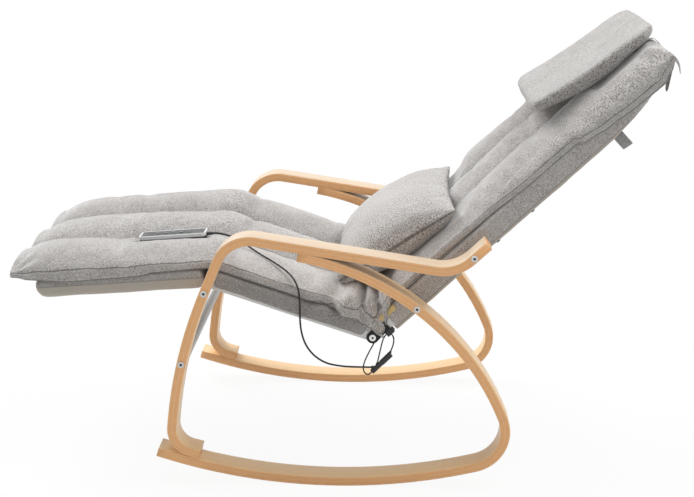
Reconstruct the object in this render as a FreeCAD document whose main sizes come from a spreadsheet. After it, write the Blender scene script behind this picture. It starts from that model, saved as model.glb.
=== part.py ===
import FreeCAD, Part
import math
import os
from FreeCAD import Placement, Rotation, Vector

# Massage rocking chair: bent beech side frames, a padded steel seat and back, a ratchet leg rest.
# Millimetres. X runs to the rear, Y to the sitter's right, Z up, with the floor at Z = 0.

doc = FreeCAD.newDocument("massage_rocking_chair")
sheet = doc.addObject("Spreadsheet::Sheet", "sizes")

# Driving dimensions
SIZES = {
    # the lines that the seat, back and leg rest are built on
    "pivot_x": -274, "pivot_z": 418, "seat_slope": 18.3, "seat_length": 360,
    "back_slope": 43.5, "back_length": 812, "legrest_slope": 4.5, "legrest_length": 369,
    # side frames of bent laminated beech
    "side_spacing": 610, "strip_width": 55, "strip_thickness": 20, "glue_line": 0.2,
    "rocker_radius": 1200, "rocker_centre_x": -10.5, "rocker_front_x": -381, "heel_radius": 80,
    "foot_end_x": -292, "foot_bend_radius": 50, "front_leg_radius": 1000,
    "lower_bolt_x": -325, "lower_bolt_z": 265,
    "arm_slope": 8.7, "arm_corner": 234, "arm_front_radius": 72, "arm_rear_radius": 85,
    "arm_overhang": 38, "arm_bolt": 282, "rear_leg_bolt": 126,
    "rear_leg_radius": 560, "rear_leg_tip_x": -83, "tip_seat_depth": 3,
    # fasteners
    "bolt_diameter": 8, "bolt_length": 82, "bolt_head": 14, "bolt_head_height": 2.5,
    "socket_width": 5, "socket_depth": 1.8, "bolt_hole_play": 0.3, "thread_play": 0.05,
    "spacer_diameter": 16, "insert_length": 30,
    "screw_diameter": 4, "screw_length": 27, "screw_head": 8, "screw_head_height": 3.5,
    "screw_recess": 1.5, "screw_spread": 28, "screw_inset": 8,
    # steel tube and the upholstered panels on it
    "tube_size": 19, "tube_wall": 1.5, "cover_thickness": 1.5, "fit_gap": 0.3,
    "side_gap": 19.5, "panel_thickness": 40, "back_thickness": 50,
    "pivot_gap": 17, "seat_end_gap": 15, "back_start": 42, "back_taper": 112, "back_top_rise": 27,
    "corner_radius": 10, "toe_radius": 24, "taper_radius": 150,
    "strap_width": 40, "strap_thickness": 1.5, "wadding_thickness": 4, "board_ply": 8,
    "motor_diameter": 36, "motor_height": 16, "motor_spread": 180,
    # hinges of the leg rest and the back
    "drum_diameter": 30, "drum_width": 14, "eye_thickness": 4, "running_play": 0.05,
    "eye_reach": 75, "eye_radius": 12.5, "hinge_plate": 3, "hinge_plate_radius": 13, "rivet_diameter": 8,
    "rivet_head": 14, "rivet_head_height": 2.5, "back_rail_start": 20, "back_bar_drop": 100,
    # long cushion in three lengths
    "cushion_inset": 8, "boxing": 20, "channel_height": 33, "outer_crest": 38, "middle_crest": 52,
    "side_draw": 4, "toe_overhang": 43, "top_overhang": 23, "cushion_skin": 4, "legrest_skin": 10,
    # loose pillows, ties and the rear loop
    "lumbar_width": 450, "lumbar_length": 286, "lumbar_thickness": 100, "lumbar_start": 46, "seam_height": 3,
    "pillow_skin": 5,
    "head_width": 400, "head_length": 290, "head_thickness": 42, "head_drop": 264, "head_tilt": 7.3,
    "head_round": 16, "tie_width": 15, "tie_thickness": 1.5, "tie_inset": 50, "tie_reach": 38,
    "loop_drop": 174, "loop_band": 26, "loop_thickness": 2, "loop_depth": 36,
    "loop_span": 38, "loop_inset": 40,
    "stud_diameter": 12, "stud_height": 3.5, "stud_first": 47, "stud_second": 141, "stud_inset": 22,
    # hand control and its harness
    "remote_length": 145, "remote_width": 48, "remote_height": 14, "remote_wall": 1.8, "remote_round": 10,
    "remote_inset": 130, "remote_rear_gap": 15, "board_thickness": 1.6,
    "key_diameter": 9, "key_height": 10.6, "key_proud": 1.2, "key_play": 0.2, "key_pitch": 17,
    "relief_length": 14, "relief_base": 8, "relief_tip": 5.5,
    "remote_cord": 4, "harness_lead": 3, "plug_diameter": 11, "entry_length": 6, "entry_wall": 1.2,
    "socket_lip": 0.8,
    "clamp_length": 18, "clamp_width": 22, "clamp_height": 13, "clamp_inset": 15,
}
for row, (alias, value) in enumerate(SIZES.items(), start=1):
    sheet.set("A%d" % row, alias)
    sheet.set("B%d" % row, str(value))
    sheet.setAlias("B%d" % row, alias)
doc.recompute()


def size(alias):
    """The value of one named size in the sheet."""
    return float(sheet.get(alias))


nodes = []


def name_node(obj, label):
    """Give a finished sub-part its label and list it for export."""
    obj.Label = label
    nodes.append(obj)
    return obj


# Lines in a side view, each piece a straight run or an arc, kept as plane points (x, z)
def plane(x, z):
    return Vector(x, z, 0)


def run(start, end):
    return {"kind": "run", "start": start, "end": end}


def arc(centre, radius, start, end, clockwise):
    """Arc about a centre from the direction of one point to the direction of another."""
    first = math.atan2(start.y - centre.y, start.x - centre.x)
    last = math.atan2(end.y - centre.y, end.x - centre.x)
    turn = (last - first) % (2 * math.pi)
    if clockwise:
        turn -= 2 * math.pi
    return {"kind": "arc", "centre": centre, "radius": radius, "first": first, "turn": turn}


def arc_point(piece, share):
    angle = piece["first"] + share * piece["turn"]
    return piece["centre"] + Vector(math.cos(angle), math.sin(angle), 0) * piece["radius"]


def end_point(piece, share):
    if piece["kind"] == "run":
        return piece["end"] if share else piece["start"]
    return arc_point(piece, share)


def moved_left(piece, distance):
    """The same piece, offset to the left of its direction of travel."""
    if piece["kind"] == "run":
        along = (piece["end"] - piece["start"]).normalize()
        shift = Vector(-along.y, along.x, 0) * distance
        return run(piece["start"] + shift, piece["end"] + shift)
    change = -distance if piece["turn"] > 0 else distance
    return dict(piece, radius=piece["radius"] + change)


def drawn(piece):
    """Sketch geometry of one piece."""
    if piece["kind"] == "run":
        return Part.LineSegment(piece["start"], piece["end"])
    return Part.Arc(arc_point(piece, 0), arc_point(piece, 0.5), arc_point(piece, 1))


def rounded(points, radii):
    """An open line through points, with an arc of each radius at the inner ones."""
    pieces = []
    start = points[0]
    for before, corner, after, radius in zip(points, points[1:], points[2:], radii):
        back = (before - corner).normalize()
        ahead = (after - corner).normalize()
        half = math.acos(max(-1.0, min(1.0, back.dot(ahead)))) / 2
        if radius <= 0:
            pieces.append(run(start, corner))
            start = corner
            continue
        first = corner + back * (radius / math.tan(half))
        last = corner + ahead * (radius / math.tan(half))
        centre = corner + (back + ahead).normalize() * (radius / math.sin(half))
        clockwise = back.x * ahead.y - back.y * ahead.x > 0
        pieces.append(run(start, first))
        pieces.append(arc(centre, radius, first, last, clockwise))
        start = last
    pieces.append(run(start, points[-1]))
    return pieces


def closed(points, radii):
    """A closed outline with rounded corners; it starts and ends midway along its first side."""
    middle = (points[0] + points[-1]) * 0.5
    return [drawn(piece) for piece in rounded([middle] + points + [middle], radii)]


def band(pieces, thickness):
    """Closed outline of a strip of one thickness along a line of pieces."""
    left = [moved_left(piece, thickness / 2) for piece in pieces]
    right = [moved_left(piece, -thickness / 2) for piece in pieces]
    outline = [drawn(piece) for piece in left + right]
    outline.append(Part.LineSegment(end_point(left[-1], 1), end_point(right[-1], 1)))
    outline.append(Part.LineSegment(end_point(left[0], 0), end_point(right[0], 0)))
    return outline


def circles_meet(first, first_radius, second, second_radius, to_left):
    """The point at given distances from two centres, left or right of the line between them."""
    line = second - first
    span = line.Length
    along = (first_radius ** 2 - second_radius ** 2 + span ** 2) / (2 * span)
    aside = math.sqrt(first_radius ** 2 - along ** 2)
    line.normalize()
    normal = Vector(-line.y, line.x, 0) * (1 if to_left else -1)
    return first + line * along + normal * aside


# Feature helpers: bodies, sketches on a body's own planes, pads and pockets
def new_body(label, place=Placement()):
    body = doc.addObject("PartDesign::Body", label)
    body.Placement = place
    return name_node(body, label)


def sketch(body, role, geometry, offset=Placement()):
    feature = body.newObject("Sketcher::SketchObject", body.Label + "_outline")
    support = next(item for item in body.Origin.OriginFeatures if item.Role == role)
    feature.AttachmentSupport = (support, [""])
    feature.MapMode = "FlatFace"
    feature.AttachmentOffset = offset
    feature.addGeometry(geometry, False)
    return feature


def pad(body, outline, length, symmetric=True):
    feature = body.newObject("PartDesign::Pad", body.Label + "_pad")
    feature.Profile = outline
    feature.SideType = "Symmetric" if symmetric else "One side"
    feature.setExpression("Length", length)
    return feature


def pocket(body, outline, length=None, symmetric=True, reverse=False):
    feature = body.newObject("PartDesign::Pocket", body.Label + "_pocket")
    feature.Profile = outline
    feature.SideType = "Symmetric" if symmetric else "One side"
    feature.Reversed = reverse
    if length is None:
        feature.Type = "ThroughAll"
    else:
        feature.setExpression("Length", length)
    return feature


def circle(centre, radius):
    return Part.Circle(centre, Vector(0, 0, 1), radius)


def box(label, corner, length, width, height, place=Placement()):
    """A box whose three sizes are bound to the sheet, with its low corner in a local frame."""
    feature = doc.addObject("Part::Box", label)
    feature.setExpression("Length", length)
    feature.setExpression("Width", width)
    feature.setExpression("Height", height)
    feature.Placement = place.multiply(Placement(corner, Rotation()))
    return feature


def cross_bar(label, start, radius, length, place=Placement()):
    """A cylinder along Y from a start point in a local frame."""
    feature = doc.addObject("Part::Cylinder", label)
    feature.setExpression("Radius", radius)
    feature.setExpression("Height", length)
    feature.Placement = place.multiply(Placement(start, Rotation(Vector(1, 0, 0), -90)))
    return feature


def fuse(label, shapes):
    feature = doc.addObject("Part::MultiFuse", label)
    feature.Shapes = shapes
    return feature


def cut(label, base, tool):
    feature = doc.addObject("Part::Cut", label)
    feature.Base = base
    feature.Tool = tool
    return feature


def group(label, shapes):
    feature = doc.addObject("Part::Compound", label)
    feature.Links = shapes
    return name_node(feature, label)


# Frames of the three panels: x along the panel, y across, z out of its face
pivot = Vector(size("pivot_x"), 0, size("pivot_z"))
seat_at = Placement(pivot, Rotation(Vector(0, 1, 0), size("seat_slope")))
legrest_at = Placement(pivot, Rotation(Vector(0, 1, 0), -size("legrest_slope")))
hinge = seat_at.multVec(Vector(size("seat_length"), 0, 0))
back_at = Placement(hinge, Rotation(Vector(0, 1, 0), -size("back_slope")))
SIDES = {"left": -1, "right": 1}


def side_point(place, along):
    """A point on a panel's centre line, in the plane of the side view."""
    point = place.multVec(Vector(along, 0, 0))
    return plane(point.x, point.z)


# Centre lines of the two bent strips of a side frame
thickness = size("strip_thickness")
rocker_centre = plane(size("rocker_centre_x"), size("rocker_radius"))
upper_bolt = plane(pivot.x, pivot.z)
lower_bolt = plane(size("lower_bolt_x"), size("lower_bolt_z"))
rear_leg_bolt = side_point(back_at, size("rear_leg_bolt"))
arm_bolt = side_point(back_at, size("arm_bolt"))


def on_rocker(radius, x):
    """The point of the rocker's circle family at one X, on the floor side."""
    depth = math.sqrt(radius ** 2 - (x - rocker_centre.x) ** 2)
    return plane(x, rocker_centre.y - depth)


def centre_through(start, end, radius):
    """Centre of an arc that turns clockwise from start to end."""
    return circles_meet(start, radius, end, radius, False)


def arm_and_leg_line():
    """Foot on the rocker, bent up the front leg, over the arm and up along the back."""
    foot_radius = size("rocker_radius") - 1.5 * thickness - size("glue_line")
    bend_radius = size("foot_bend_radius")
    leg_radius = size("front_leg_radius")
    foot_end = on_rocker(foot_radius, size("foot_end_x"))
    leg_centre = centre_through(lower_bolt, upper_bolt, leg_radius)
    bend_centre = circles_meet(leg_centre, leg_radius - bend_radius,
                               rocker_centre, foot_radius - bend_radius, True)
    foot_bend = bend_centre + (bend_centre - rocker_centre).normalize() * bend_radius
    leg_foot = bend_centre + (bend_centre - leg_centre).normalize() * bend_radius
    spoke = upper_bolt - leg_centre
    rise = Vector(spoke.y, -spoke.x, 0).normalize()
    corner = side_point(back_at, size("arm_corner"))
    slope = math.radians(size("arm_slope"))
    forward = plane(-math.cos(slope), math.sin(slope))
    gap = corner - upper_bolt
    share = (gap.x * forward.y - gap.y * forward.x) / (rise.x * forward.y - rise.y * forward.x)
    arm_front = upper_bolt + rise * share
    arm_end = side_point(back_at, size("arm_bolt") + size("arm_overhang"))
    pieces = [
        arc(rocker_centre, foot_radius, foot_end, foot_bend, True),
        arc(bend_centre, bend_radius, foot_bend, leg_foot, True),
        arc(leg_centre, leg_radius, leg_foot, upper_bolt, True),
    ]
    radii = [size("arm_front_radius"), size("arm_rear_radius")]
    return pieces + rounded([upper_bolt, arm_front, corner, arm_end], radii)


def arm_underside(x):
    """Height of the arm's lower face at one X."""
    corner = side_point(back_at, size("arm_corner"))
    slope = math.radians(size("arm_slope"))
    return corner.y + (corner.x - x) * math.tan(slope) - thickness / 2 / math.cos(slope)


def rocker_line():
    """Tip under the arm, down the rear leg, round the heel and along the rocker to the front."""
    leg_radius = size("rear_leg_radius")
    heel_radius = size("heel_radius")
    runner_radius = size("rocker_radius") - thickness / 2
    slope = math.radians(size("arm_slope"))
    tip_x = size("rear_leg_tip_x")
    tip = plane(tip_x, arm_underside(tip_x) - thickness / 2 / math.cos(slope) + size("tip_seat_depth"))
    leg_centre = centre_through(tip, rear_leg_bolt, leg_radius)
    heel_centre = circles_meet(leg_centre, leg_radius - heel_radius,
                               rocker_centre, runner_radius - heel_radius, False)
    heel_top = heel_centre + (heel_centre - leg_centre).normalize() * heel_radius
    heel_foot = heel_centre + (heel_centre - rocker_centre).normalize() * heel_radius
    front = on_rocker(runner_radius, size("rocker_front_x"))
    return [
        arc(leg_centre, leg_radius, tip, heel_top, True),
        arc(heel_centre, heel_radius, heel_top, heel_foot, True),
        arc(rocker_centre, runner_radius, heel_foot, front, True),
    ]


# Bent beech side frames
bolt_hole = size("bolt_diameter") / 2 + size("bolt_hole_play")
screw_x = size("foot_end_x") - size("screw_inset")
screw_floor = on_rocker(size("rocker_radius"), screw_x).y + size("screw_recess")
screw_places = [plane(screw_x, side * size("screw_spread") / 2) for side in SIDES.values()]
screw_hole = size("screw_diameter") / 2 + size("thread_play")
head_hole = size("screw_head") / 2 + size("bolt_hole_play")
HEAD_DEPTH = "%r + sizes.screw_head_height" % screw_floor
SCREW_DEPTH = HEAD_DEPTH + " + sizes.screw_length"
for side_name, side in SIDES.items():
    place = Placement(Vector(0, side * size("side_spacing") / 2, 0), Rotation())
    arm = new_body(side_name + "_arm_and_leg", place)
    pad(arm, sketch(arm, "XZ_Plane", band(arm_and_leg_line(), thickness)), "sizes.strip_width")
    bolt_places = (upper_bolt, lower_bolt, arm_bolt)
    pocket(arm, sketch(arm, "XZ_Plane", [circle(at, bolt_hole) for at in bolt_places]))
    pocket(arm, sketch(arm, "XY_Plane", [circle(at, screw_hole) for at in screw_places]),
           SCREW_DEPTH, symmetric=False, reverse=True)

    runner = new_body(side_name + "_rocker", place)
    pad(runner, sketch(runner, "XZ_Plane", band(rocker_line(), thickness)), "sizes.strip_width")
    pocket(runner, sketch(runner, "XZ_Plane", [circle(rear_leg_bolt, bolt_hole)]))
    tip_x = size("rear_leg_tip_x")
    planed = [plane(x, arm_underside(x)) for x in (tip_x - thickness, tip_x + 4 * thickness)]
    planed += [point + plane(0, thickness) for point in reversed(planed)]
    pocket(runner, sketch(runner, "XZ_Plane", closed(planed, [0] * 4)))
    pocket(runner, sketch(runner, "XY_Plane", [circle(at, screw_hole) for at in screw_places]),
           SCREW_DEPTH, symmetric=False, reverse=True)
    pocket(runner, sketch(runner, "XY_Plane", [circle(at, head_hole) for at in screw_places]),
           HEAD_DEPTH, symmetric=False, reverse=True)

# Hex socket bolts through the side frames, and screws under the foot laps
inner_face = (size("side_spacing") - size("strip_width")) / 2
outer_face = inner_face + size("strip_width")


def facing_in(side, place):
    """A frame whose z axis points from one side frame towards the middle."""
    return Placement(place, Rotation(Vector(1, 0, 0), 90 * side))


bolts = []
screws = []
for side_name, side in SIDES.items():
    for spot in (upper_bolt, lower_bolt, rear_leg_bolt, arm_bolt):
        at = facing_in(side, Vector(spot.x, side * outer_face, spot.y))
        shank = doc.addObject("Part::Cylinder", "bolt_shank")
        shank.setExpression("Radius", "sizes.bolt_diameter / 2")
        shank.setExpression("Height", "sizes.bolt_length")
        shank.Placement = at
        head = doc.addObject("Part::Cylinder", "bolt_head")
        head.setExpression("Radius", "sizes.bolt_head / 2")
        head.setExpression("Height", "sizes.bolt_head_height")
        head.Placement = at.multiply(Placement(Vector(0, 0, -size("bolt_head_height")), Rotation()))
        socket = doc.addObject("Part::Prism", "bolt_socket")
        socket.setExpression("Circumradius", "sizes.socket_width / 2 / cos(30)")
        socket.setExpression("Height", "sizes.socket_depth")
        socket.Placement = head.Placement
        bolts.append(cut("bolt", fuse("bolt_blank", [shank, head]), socket))
    for spot in screw_places:
        at = Vector(spot.x, side * size("side_spacing") / 2 + spot.y, screw_floor)
        head = doc.addObject("Part::Cylinder", "screw_head")
        head.setExpression("Radius", "sizes.screw_head / 2")
        head.setExpression("Height", "sizes.screw_head_height")
        head.Placement = Placement(at, Rotation())
        shank = doc.addObject("Part::Cylinder", "screw_shank")
        shank.setExpression("Radius", "sizes.screw_diameter / 2")
        shank.setExpression("Height", "sizes.screw_head_height + sizes.screw_length")
        shank.Placement = head.Placement
        screws.append(fuse("screw", [head, shank]))
group("frame_bolts", bolts)
group("foot_lap_screws", screws)

# Steel cross tubes between the side frames, with threaded inserts in their ends
tube = size("tube_size")
wall = size("tube_wall")
INNER_SPAN = "(sizes.side_spacing - sizes.strip_width)"
TUBE_BORE = "(sizes.tube_size / 2 - sizes.tube_wall)"


def cross_tube(label, centre):
    start = Vector(centre.x, -inner_face, centre.z)
    return cut(label, cross_bar(label + "_outside", start, "sizes.tube_size / 2", INNER_SPAN),
               cross_bar(label + "_bore", start, TUBE_BORE, INNER_SPAN))


stretcher_centre = Vector(lower_bolt.x, 0, lower_bolt.y)
name_node(cross_tube("front_stretcher_tube", stretcher_centre), "front_stretcher")
inserts = []
for centre in (pivot, stretcher_centre):
    for side in SIDES.values():
        at = facing_in(side, Vector(centre.x, side * inner_face, centre.z))
        plug = doc.addObject("Part::Cylinder", "insert_body")
        plug.setExpression("Radius", TUBE_BORE + " - sizes.thread_play")
        plug.setExpression("Height", "sizes.insert_length")
        plug.Placement = at
        thread = doc.addObject("Part::Cylinder", "insert_thread")
        thread.setExpression("Radius", "sizes.bolt_diameter / 2 + sizes.thread_play")
        thread.setExpression("Height", "sizes.insert_length")
        thread.Placement = at
        inserts.append(cut("insert", plug, thread))
group("tube_inserts", inserts)

# Welded frames of square tube, hollow, in a panel's own frame
panel_half = (size("side_spacing") - size("strip_width")) / 2 - size("side_gap")
PANEL_WIDTH = "(sizes.side_spacing - sizes.strip_width - 2 * sizes.side_gap)"
rail_face = panel_half - size("cover_thickness") - size("fit_gap")
RAIL_FACE = "(" + PANEL_WIDTH + " / 2 - sizes.cover_thickness - sizes.fit_gap)"


def rails(label, spans, place):
    """Square tubes over (x from, x to, y from, y to) spans: the outside and the hollow."""
    outside = []
    hollow = []
    for low_x, high_x, low_y, high_y in spans:
        for inset, solids in ((0, outside), (wall, hollow)):
            solid = doc.addObject("Part::Box", label + "_rail")
            solid.Length = high_x - low_x - 2 * inset
            solid.Width = high_y - low_y - 2 * inset
            solid.setExpression("Height", "sizes.tube_size - %d * sizes.tube_wall" % (2 if inset else 0))
            corner = Vector(low_x + inset, low_y + inset, inset - tube / 2)
            solid.Placement = place.multiply(Placement(corner, Rotation()))
            solids.append(solid)
    return outside, hollow


def both_sides(low_x, high_x, outer):
    """Spans of a left and a right rail whose outer faces stand at one distance from the middle."""
    return [(low_x, high_x, -outer, tube - outer), (low_x, high_x, outer - tube, outer)]


# Seat frame: the front tube is the leg rest's hinge pin, the rails end in the back's hinge eyes
seat_length = size("seat_length")
seat_bar = seat_length - 3 * tube
outside, hollow = rails("seat", both_sides(tube / 4, seat_length, rail_face)
                        + [(seat_bar, seat_bar + tube, -rail_face, rail_face)], seat_at)
front_end = Vector(pivot.x, -inner_face, pivot.z)
front = cross_bar("seat_front_tube", front_end, "sizes.tube_size / 2", INNER_SPAN)
bore = cross_bar("seat_front_bore", front_end, TUBE_BORE, INNER_SPAN)
eyes = [cross_bar("seat_eye", Vector(seat_length, low, 0), "sizes.tube_size / 2", "sizes.tube_size", seat_at)
        for low in (-rail_face, rail_face - tube)]
rivet_bore = cross_bar("seat_rivet_bore", Vector(seat_length, -rail_face, 0),
                       "sizes.rivet_diameter / 2 + sizes.thread_play", "2 * " + RAIL_FACE, seat_at)
seat_solid = fuse("seat_frame_solid", outside + [front] + eyes)
seat_hollow = fuse("seat_frame_hollow", hollow + [bore, rivet_bore])
name_node(cut("seat_frame_cut", seat_solid, seat_hollow), "seat_frame")

# Back frame: a loop of tube whose rails take the rear leg and arm bolts
back_bar = size("back_length") - size("back_bar_drop")
low_bar = size("rear_leg_bolt") - 3 * tube
outside, hollow = rails("back", both_sides(size("back_rail_start"), back_bar + tube, rail_face)
                        + [(low_bar, low_bar + tube, -rail_face, rail_face),
                           (back_bar, back_bar + tube, -rail_face, rail_face)], back_at)
bolt_bores = [cross_bar("back_bolt_bore", Vector(along, side * (rail_face - tube / 4) - tube / 2, 0),
                        "sizes.bolt_diameter / 2 + sizes.thread_play", "sizes.tube_size", back_at)
              for along in (size("rear_leg_bolt"), size("arm_bolt")) for side in SIDES.values()]
back_solid = fuse("back_frame_solid", outside)
name_node(cut("back_frame_cut", back_solid, fuse("back_frame_hollow", hollow + bolt_bores)), "back_frame")

# Leg rest frame, with eye plates that turn on the seat's front tube beside the ratchet drums
drum_outer = rail_face - tube - size("fit_gap")
eye_outer = drum_outer - size("drum_width") - size("fit_gap")
legrest_rail = eye_outer - size("eye_thickness")
legrest_length = size("legrest_length")
bar_x = size("toe_radius") - legrest_length
outside, hollow = rails("legrest", both_sides(bar_x, -size("pivot_gap"), legrest_rail)
                        + [(bar_x, bar_x + tube, -legrest_rail, legrest_rail)], legrest_at)
name_node(cut("legrest_frame_cut", fuse("legrest_frame_solid", outside), fuse("legrest_hollow", hollow)),
          "legrest_frame")
for side_name, side in SIDES.items():
    eye_middle = side * (eye_outer - size("eye_thickness") / 2)
    at = legrest_at.multiply(Placement(Vector(0, eye_middle, 0), Rotation()))
    eye = new_body(side_name + "_legrest_eye", at)
    radius = size("eye_radius")
    reach = -size("eye_reach")
    neck = 2 - size("pivot_gap")
    half = tube / 2
    outline = [
        Part.Arc(plane(0, -radius), plane(radius, 0), plane(0, radius)),
        Part.LineSegment(plane(0, radius), plane(neck, half)),
        Part.LineSegment(plane(neck, half), plane(reach, half)),
        Part.LineSegment(plane(reach, half), plane(reach, -half)),
        Part.LineSegment(plane(reach, -half), plane(neck, -half)),
        Part.LineSegment(plane(neck, -half), plane(0, -radius)),
    ]
    pad(eye, sketch(eye, "XZ_Plane", outline), "sizes.eye_thickness")
    pocket(eye, sketch(eye, "XZ_Plane", [circle(plane(0, 0), half + size("running_play"))]))

    drum_half = size("drum_width") / 2
    drum_start = Vector(pivot.x, side * (drum_outer - drum_half) - drum_half, pivot.z)
    drum = cross_bar("drum_outside", drum_start, "sizes.drum_diameter / 2", "sizes.drum_width")
    drum_bore = cross_bar("drum_bore", drum_start,
                          "sizes.tube_size / 2 + sizes.running_play", "sizes.drum_width")
    name_node(cut(side_name + "_drum", drum, drum_bore), side_name + "_ratchet_drum")

# Hinge plates between seat and back, their rivets, and the spacers behind the rear bolts
rivets = []
for side_name, side in SIDES.items():
    middle = rail_face + size("hinge_plate") / 2
    plate = new_body(side_name + "_hinge_plate",
                     back_at.multiply(Placement(Vector(0, side * middle, 0), Rotation())))
    radius = size("hinge_plate_radius")
    reach = size("back_start") - size("fit_gap")
    outline = [
        Part.Arc(plane(0, radius), plane(-radius, 0), plane(0, -radius)),
        Part.LineSegment(plane(0, -radius), plane(reach, -tube / 2)),
        Part.LineSegment(plane(reach, -tube / 2), plane(reach, tube / 2)),
        Part.LineSegment(plane(reach, tube / 2), plane(0, radius)),
    ]
    pad(plate, sketch(plate, "XZ_Plane", outline), "sizes.hinge_plate")
    pocket(plate, sketch(plate, "XZ_Plane",
                         [circle(plane(0, 0), size("rivet_diameter") / 2 + size("thread_play"))]))
    outer_head = rail_face + size("hinge_plate")
    shank_start = rail_face - tube - size("rivet_head_height")
    rivet_parts = []
    shank_length = "sizes.tube_size + sizes.hinge_plate + sizes.rivet_head_height"
    for start, radius_of, length_of in (
            (outer_head, "sizes.rivet_head / 2", "sizes.rivet_head_height"),
            (shank_start, "sizes.rivet_head / 2", "sizes.rivet_head_height"),
            (shank_start, "sizes.rivet_diameter / 2", shank_length)):
        part = cross_bar("rivet_part", Vector(), radius_of, length_of)
        at = facing_in(-side, Vector(hinge.x, side * start, hinge.z))
        part.Placement = at
        rivet_parts.append(part)
    rivets.append(fuse("rivet", rivet_parts))
group("hinge_rivets", rivets)
spacers = []
for along in (size("rear_leg_bolt"), size("arm_bolt")):
    for side in SIDES.values():
        spot = back_at.multVec(Vector(along, side * inner_face, 0))
        at = facing_in(side, spot)
        sleeve = doc.addObject("Part::Cylinder", "spacer_outside")
        sleeve.setExpression("Radius", "sizes.spacer_diameter / 2")
        sleeve.setExpression("Height", INNER_SPAN + " / 2 - " + RAIL_FACE)
        sleeve.Placement = at
        hole = doc.addObject("Part::Cylinder", "spacer_bore")
        hole.setExpression("Radius", "sizes.bolt_diameter / 2 + sizes.bolt_hole_play")
        hole.setExpression("Height", INNER_SPAN + " / 2 - " + RAIL_FACE)
        hole.Placement = at
        spacers.append(cut("spacer", sleeve, hole))
group("bolt_spacers", spacers)

# Upholstered panels: fabric sleeves over foam, webbing and vibration motors
cover = size("cover_thickness")
gap = size("fit_gap")
panel_low = -tube / 2 - gap - cover
panel_high = panel_low + size("panel_thickness")
strap_top = tube / 2 + size("strap_thickness")
pivot_gap = size("pivot_gap")
COVER_SPAN = PANEL_WIDTH + " - 2 * sizes.cover_thickness"
FOAM_SPAN = COVER_SPAN + " - 2 * sizes.fit_gap"


def side_box(near_x, far_x, low, high, radii=(0, 0, 0, 0)):
    """A four-sided outline in a panel's side view, with a radius for each corner."""
    corners = [plane(near_x, low), plane(near_x, high), plane(far_x, high), plane(far_x, low)]
    return closed(corners, radii)


def foam_board(label, place, low_x, high_x, low, high):
    body = new_body(label, place)
    pad(body, sketch(body, "XZ_Plane", side_box(low_x, high_x, low, high)), FOAM_SPAN)
    return body


def webbing(label, place, spots):
    """Elastic straps across a frame, lying on its rails."""
    width = size("strap_width")
    straps = []
    for spot in spots:
        corner = Vector(spot - width / 2, tube / 2 - rail_face, tube / 2)
        straps.append(box("strap", corner, "sizes.strap_width", "2 * %s - sizes.tube_size" % RAIL_FACE,
                          "sizes.strap_thickness", place))
    return group(label, straps)


def motors(label, place, spots, foam_low):
    """Vibration motors, round cans set against the underside of the foam."""
    cans = []
    for along, across in spots:
        can = doc.addObject("Part::Cylinder", "motor_can")
        can.setExpression("Radius", "sizes.motor_diameter / 2")
        can.setExpression("Height", "sizes.motor_height")
        low = Vector(along, across, foam_low - size("motor_height"))
        can.Placement = place.multiply(Placement(low, Rotation()))
        cans.append(can)
    return group(label, cans)


motor_rows = [side * size("motor_spread") / 2 for side in SIDES.values()]
seat_cover = new_body("seat_cover", seat_at)
seat_end = seat_length - size("seat_end_gap")
pad(seat_cover, sketch(seat_cover, "XZ_Plane", side_box(pivot_gap, seat_end, panel_low, panel_high)),
    PANEL_WIDTH)
pocket(seat_cover, sketch(seat_cover, "XZ_Plane", side_box(
    pivot_gap - cover, seat_end + cover, panel_low + cover, panel_high - cover)), COVER_SPAN)
foam_low = strap_top + gap
foam_high = panel_high - cover - gap
foam_board("seat_foam", seat_at, pivot_gap + gap, seat_end - gap, foam_low, foam_high)
strap_pitch = 2 * size("strap_width")
seat_first = size("strap_width") + pivot_gap
webbing("seat_webbing", seat_at, [seat_first + step * strap_pitch for step in range(3)])
motor_x = seat_first + strap_pitch / 2
motors("seat_motors", seat_at, [(motor_x, across) for across in motor_rows], foam_low)

legrest_cover = new_body("legrest_cover", legrest_at)
corners = [0, 0, size("corner_radius"), size("toe_radius")]
pad(legrest_cover, sketch(legrest_cover, "XZ_Plane", side_box(
    -pivot_gap, -legrest_length, panel_low, panel_high, corners)), PANEL_WIDTH)
inner_corners = [0, 0, size("corner_radius") - cover, size("toe_radius") - cover]
pocket(legrest_cover, sketch(legrest_cover, "XZ_Plane", side_box(
    cover - pivot_gap, cover - legrest_length, panel_low + cover, panel_high - cover,
    inner_corners)), COVER_SPAN)
ply_top = tube / 2 + size("board_ply")
board_end = size("corner_radius") - legrest_length
foam_board("legrest_board", legrest_at, board_end, -pivot_gap - gap, tube / 2, ply_top)
foam_board("legrest_foam", legrest_at, board_end, -pivot_gap - gap, ply_top + gap, foam_high)
motors("legrest_motors", legrest_at, [(-legrest_length / 2, across) for across in motor_rows], tube / 2)

half_back = size("back_thickness") / 2
back_start = size("back_start")
back_length = size("back_length")
taper_x = back_length - size("back_taper")


def back_profile(inset, start):
    """Side outline of the back: square at the hinge, its rear face drawn forward at the top."""
    rise = size("back_top_rise") - half_back
    return closed(
        [plane(start, inset - half_back), plane(taper_x, inset - half_back),
         plane(back_length - inset, rise + inset), plane(back_length - inset, half_back - inset),
         plane(start, half_back - inset)],
        [0, size("taper_radius"), size("corner_radius") - inset / 2, size("corner_radius") - inset, 0])


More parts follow.
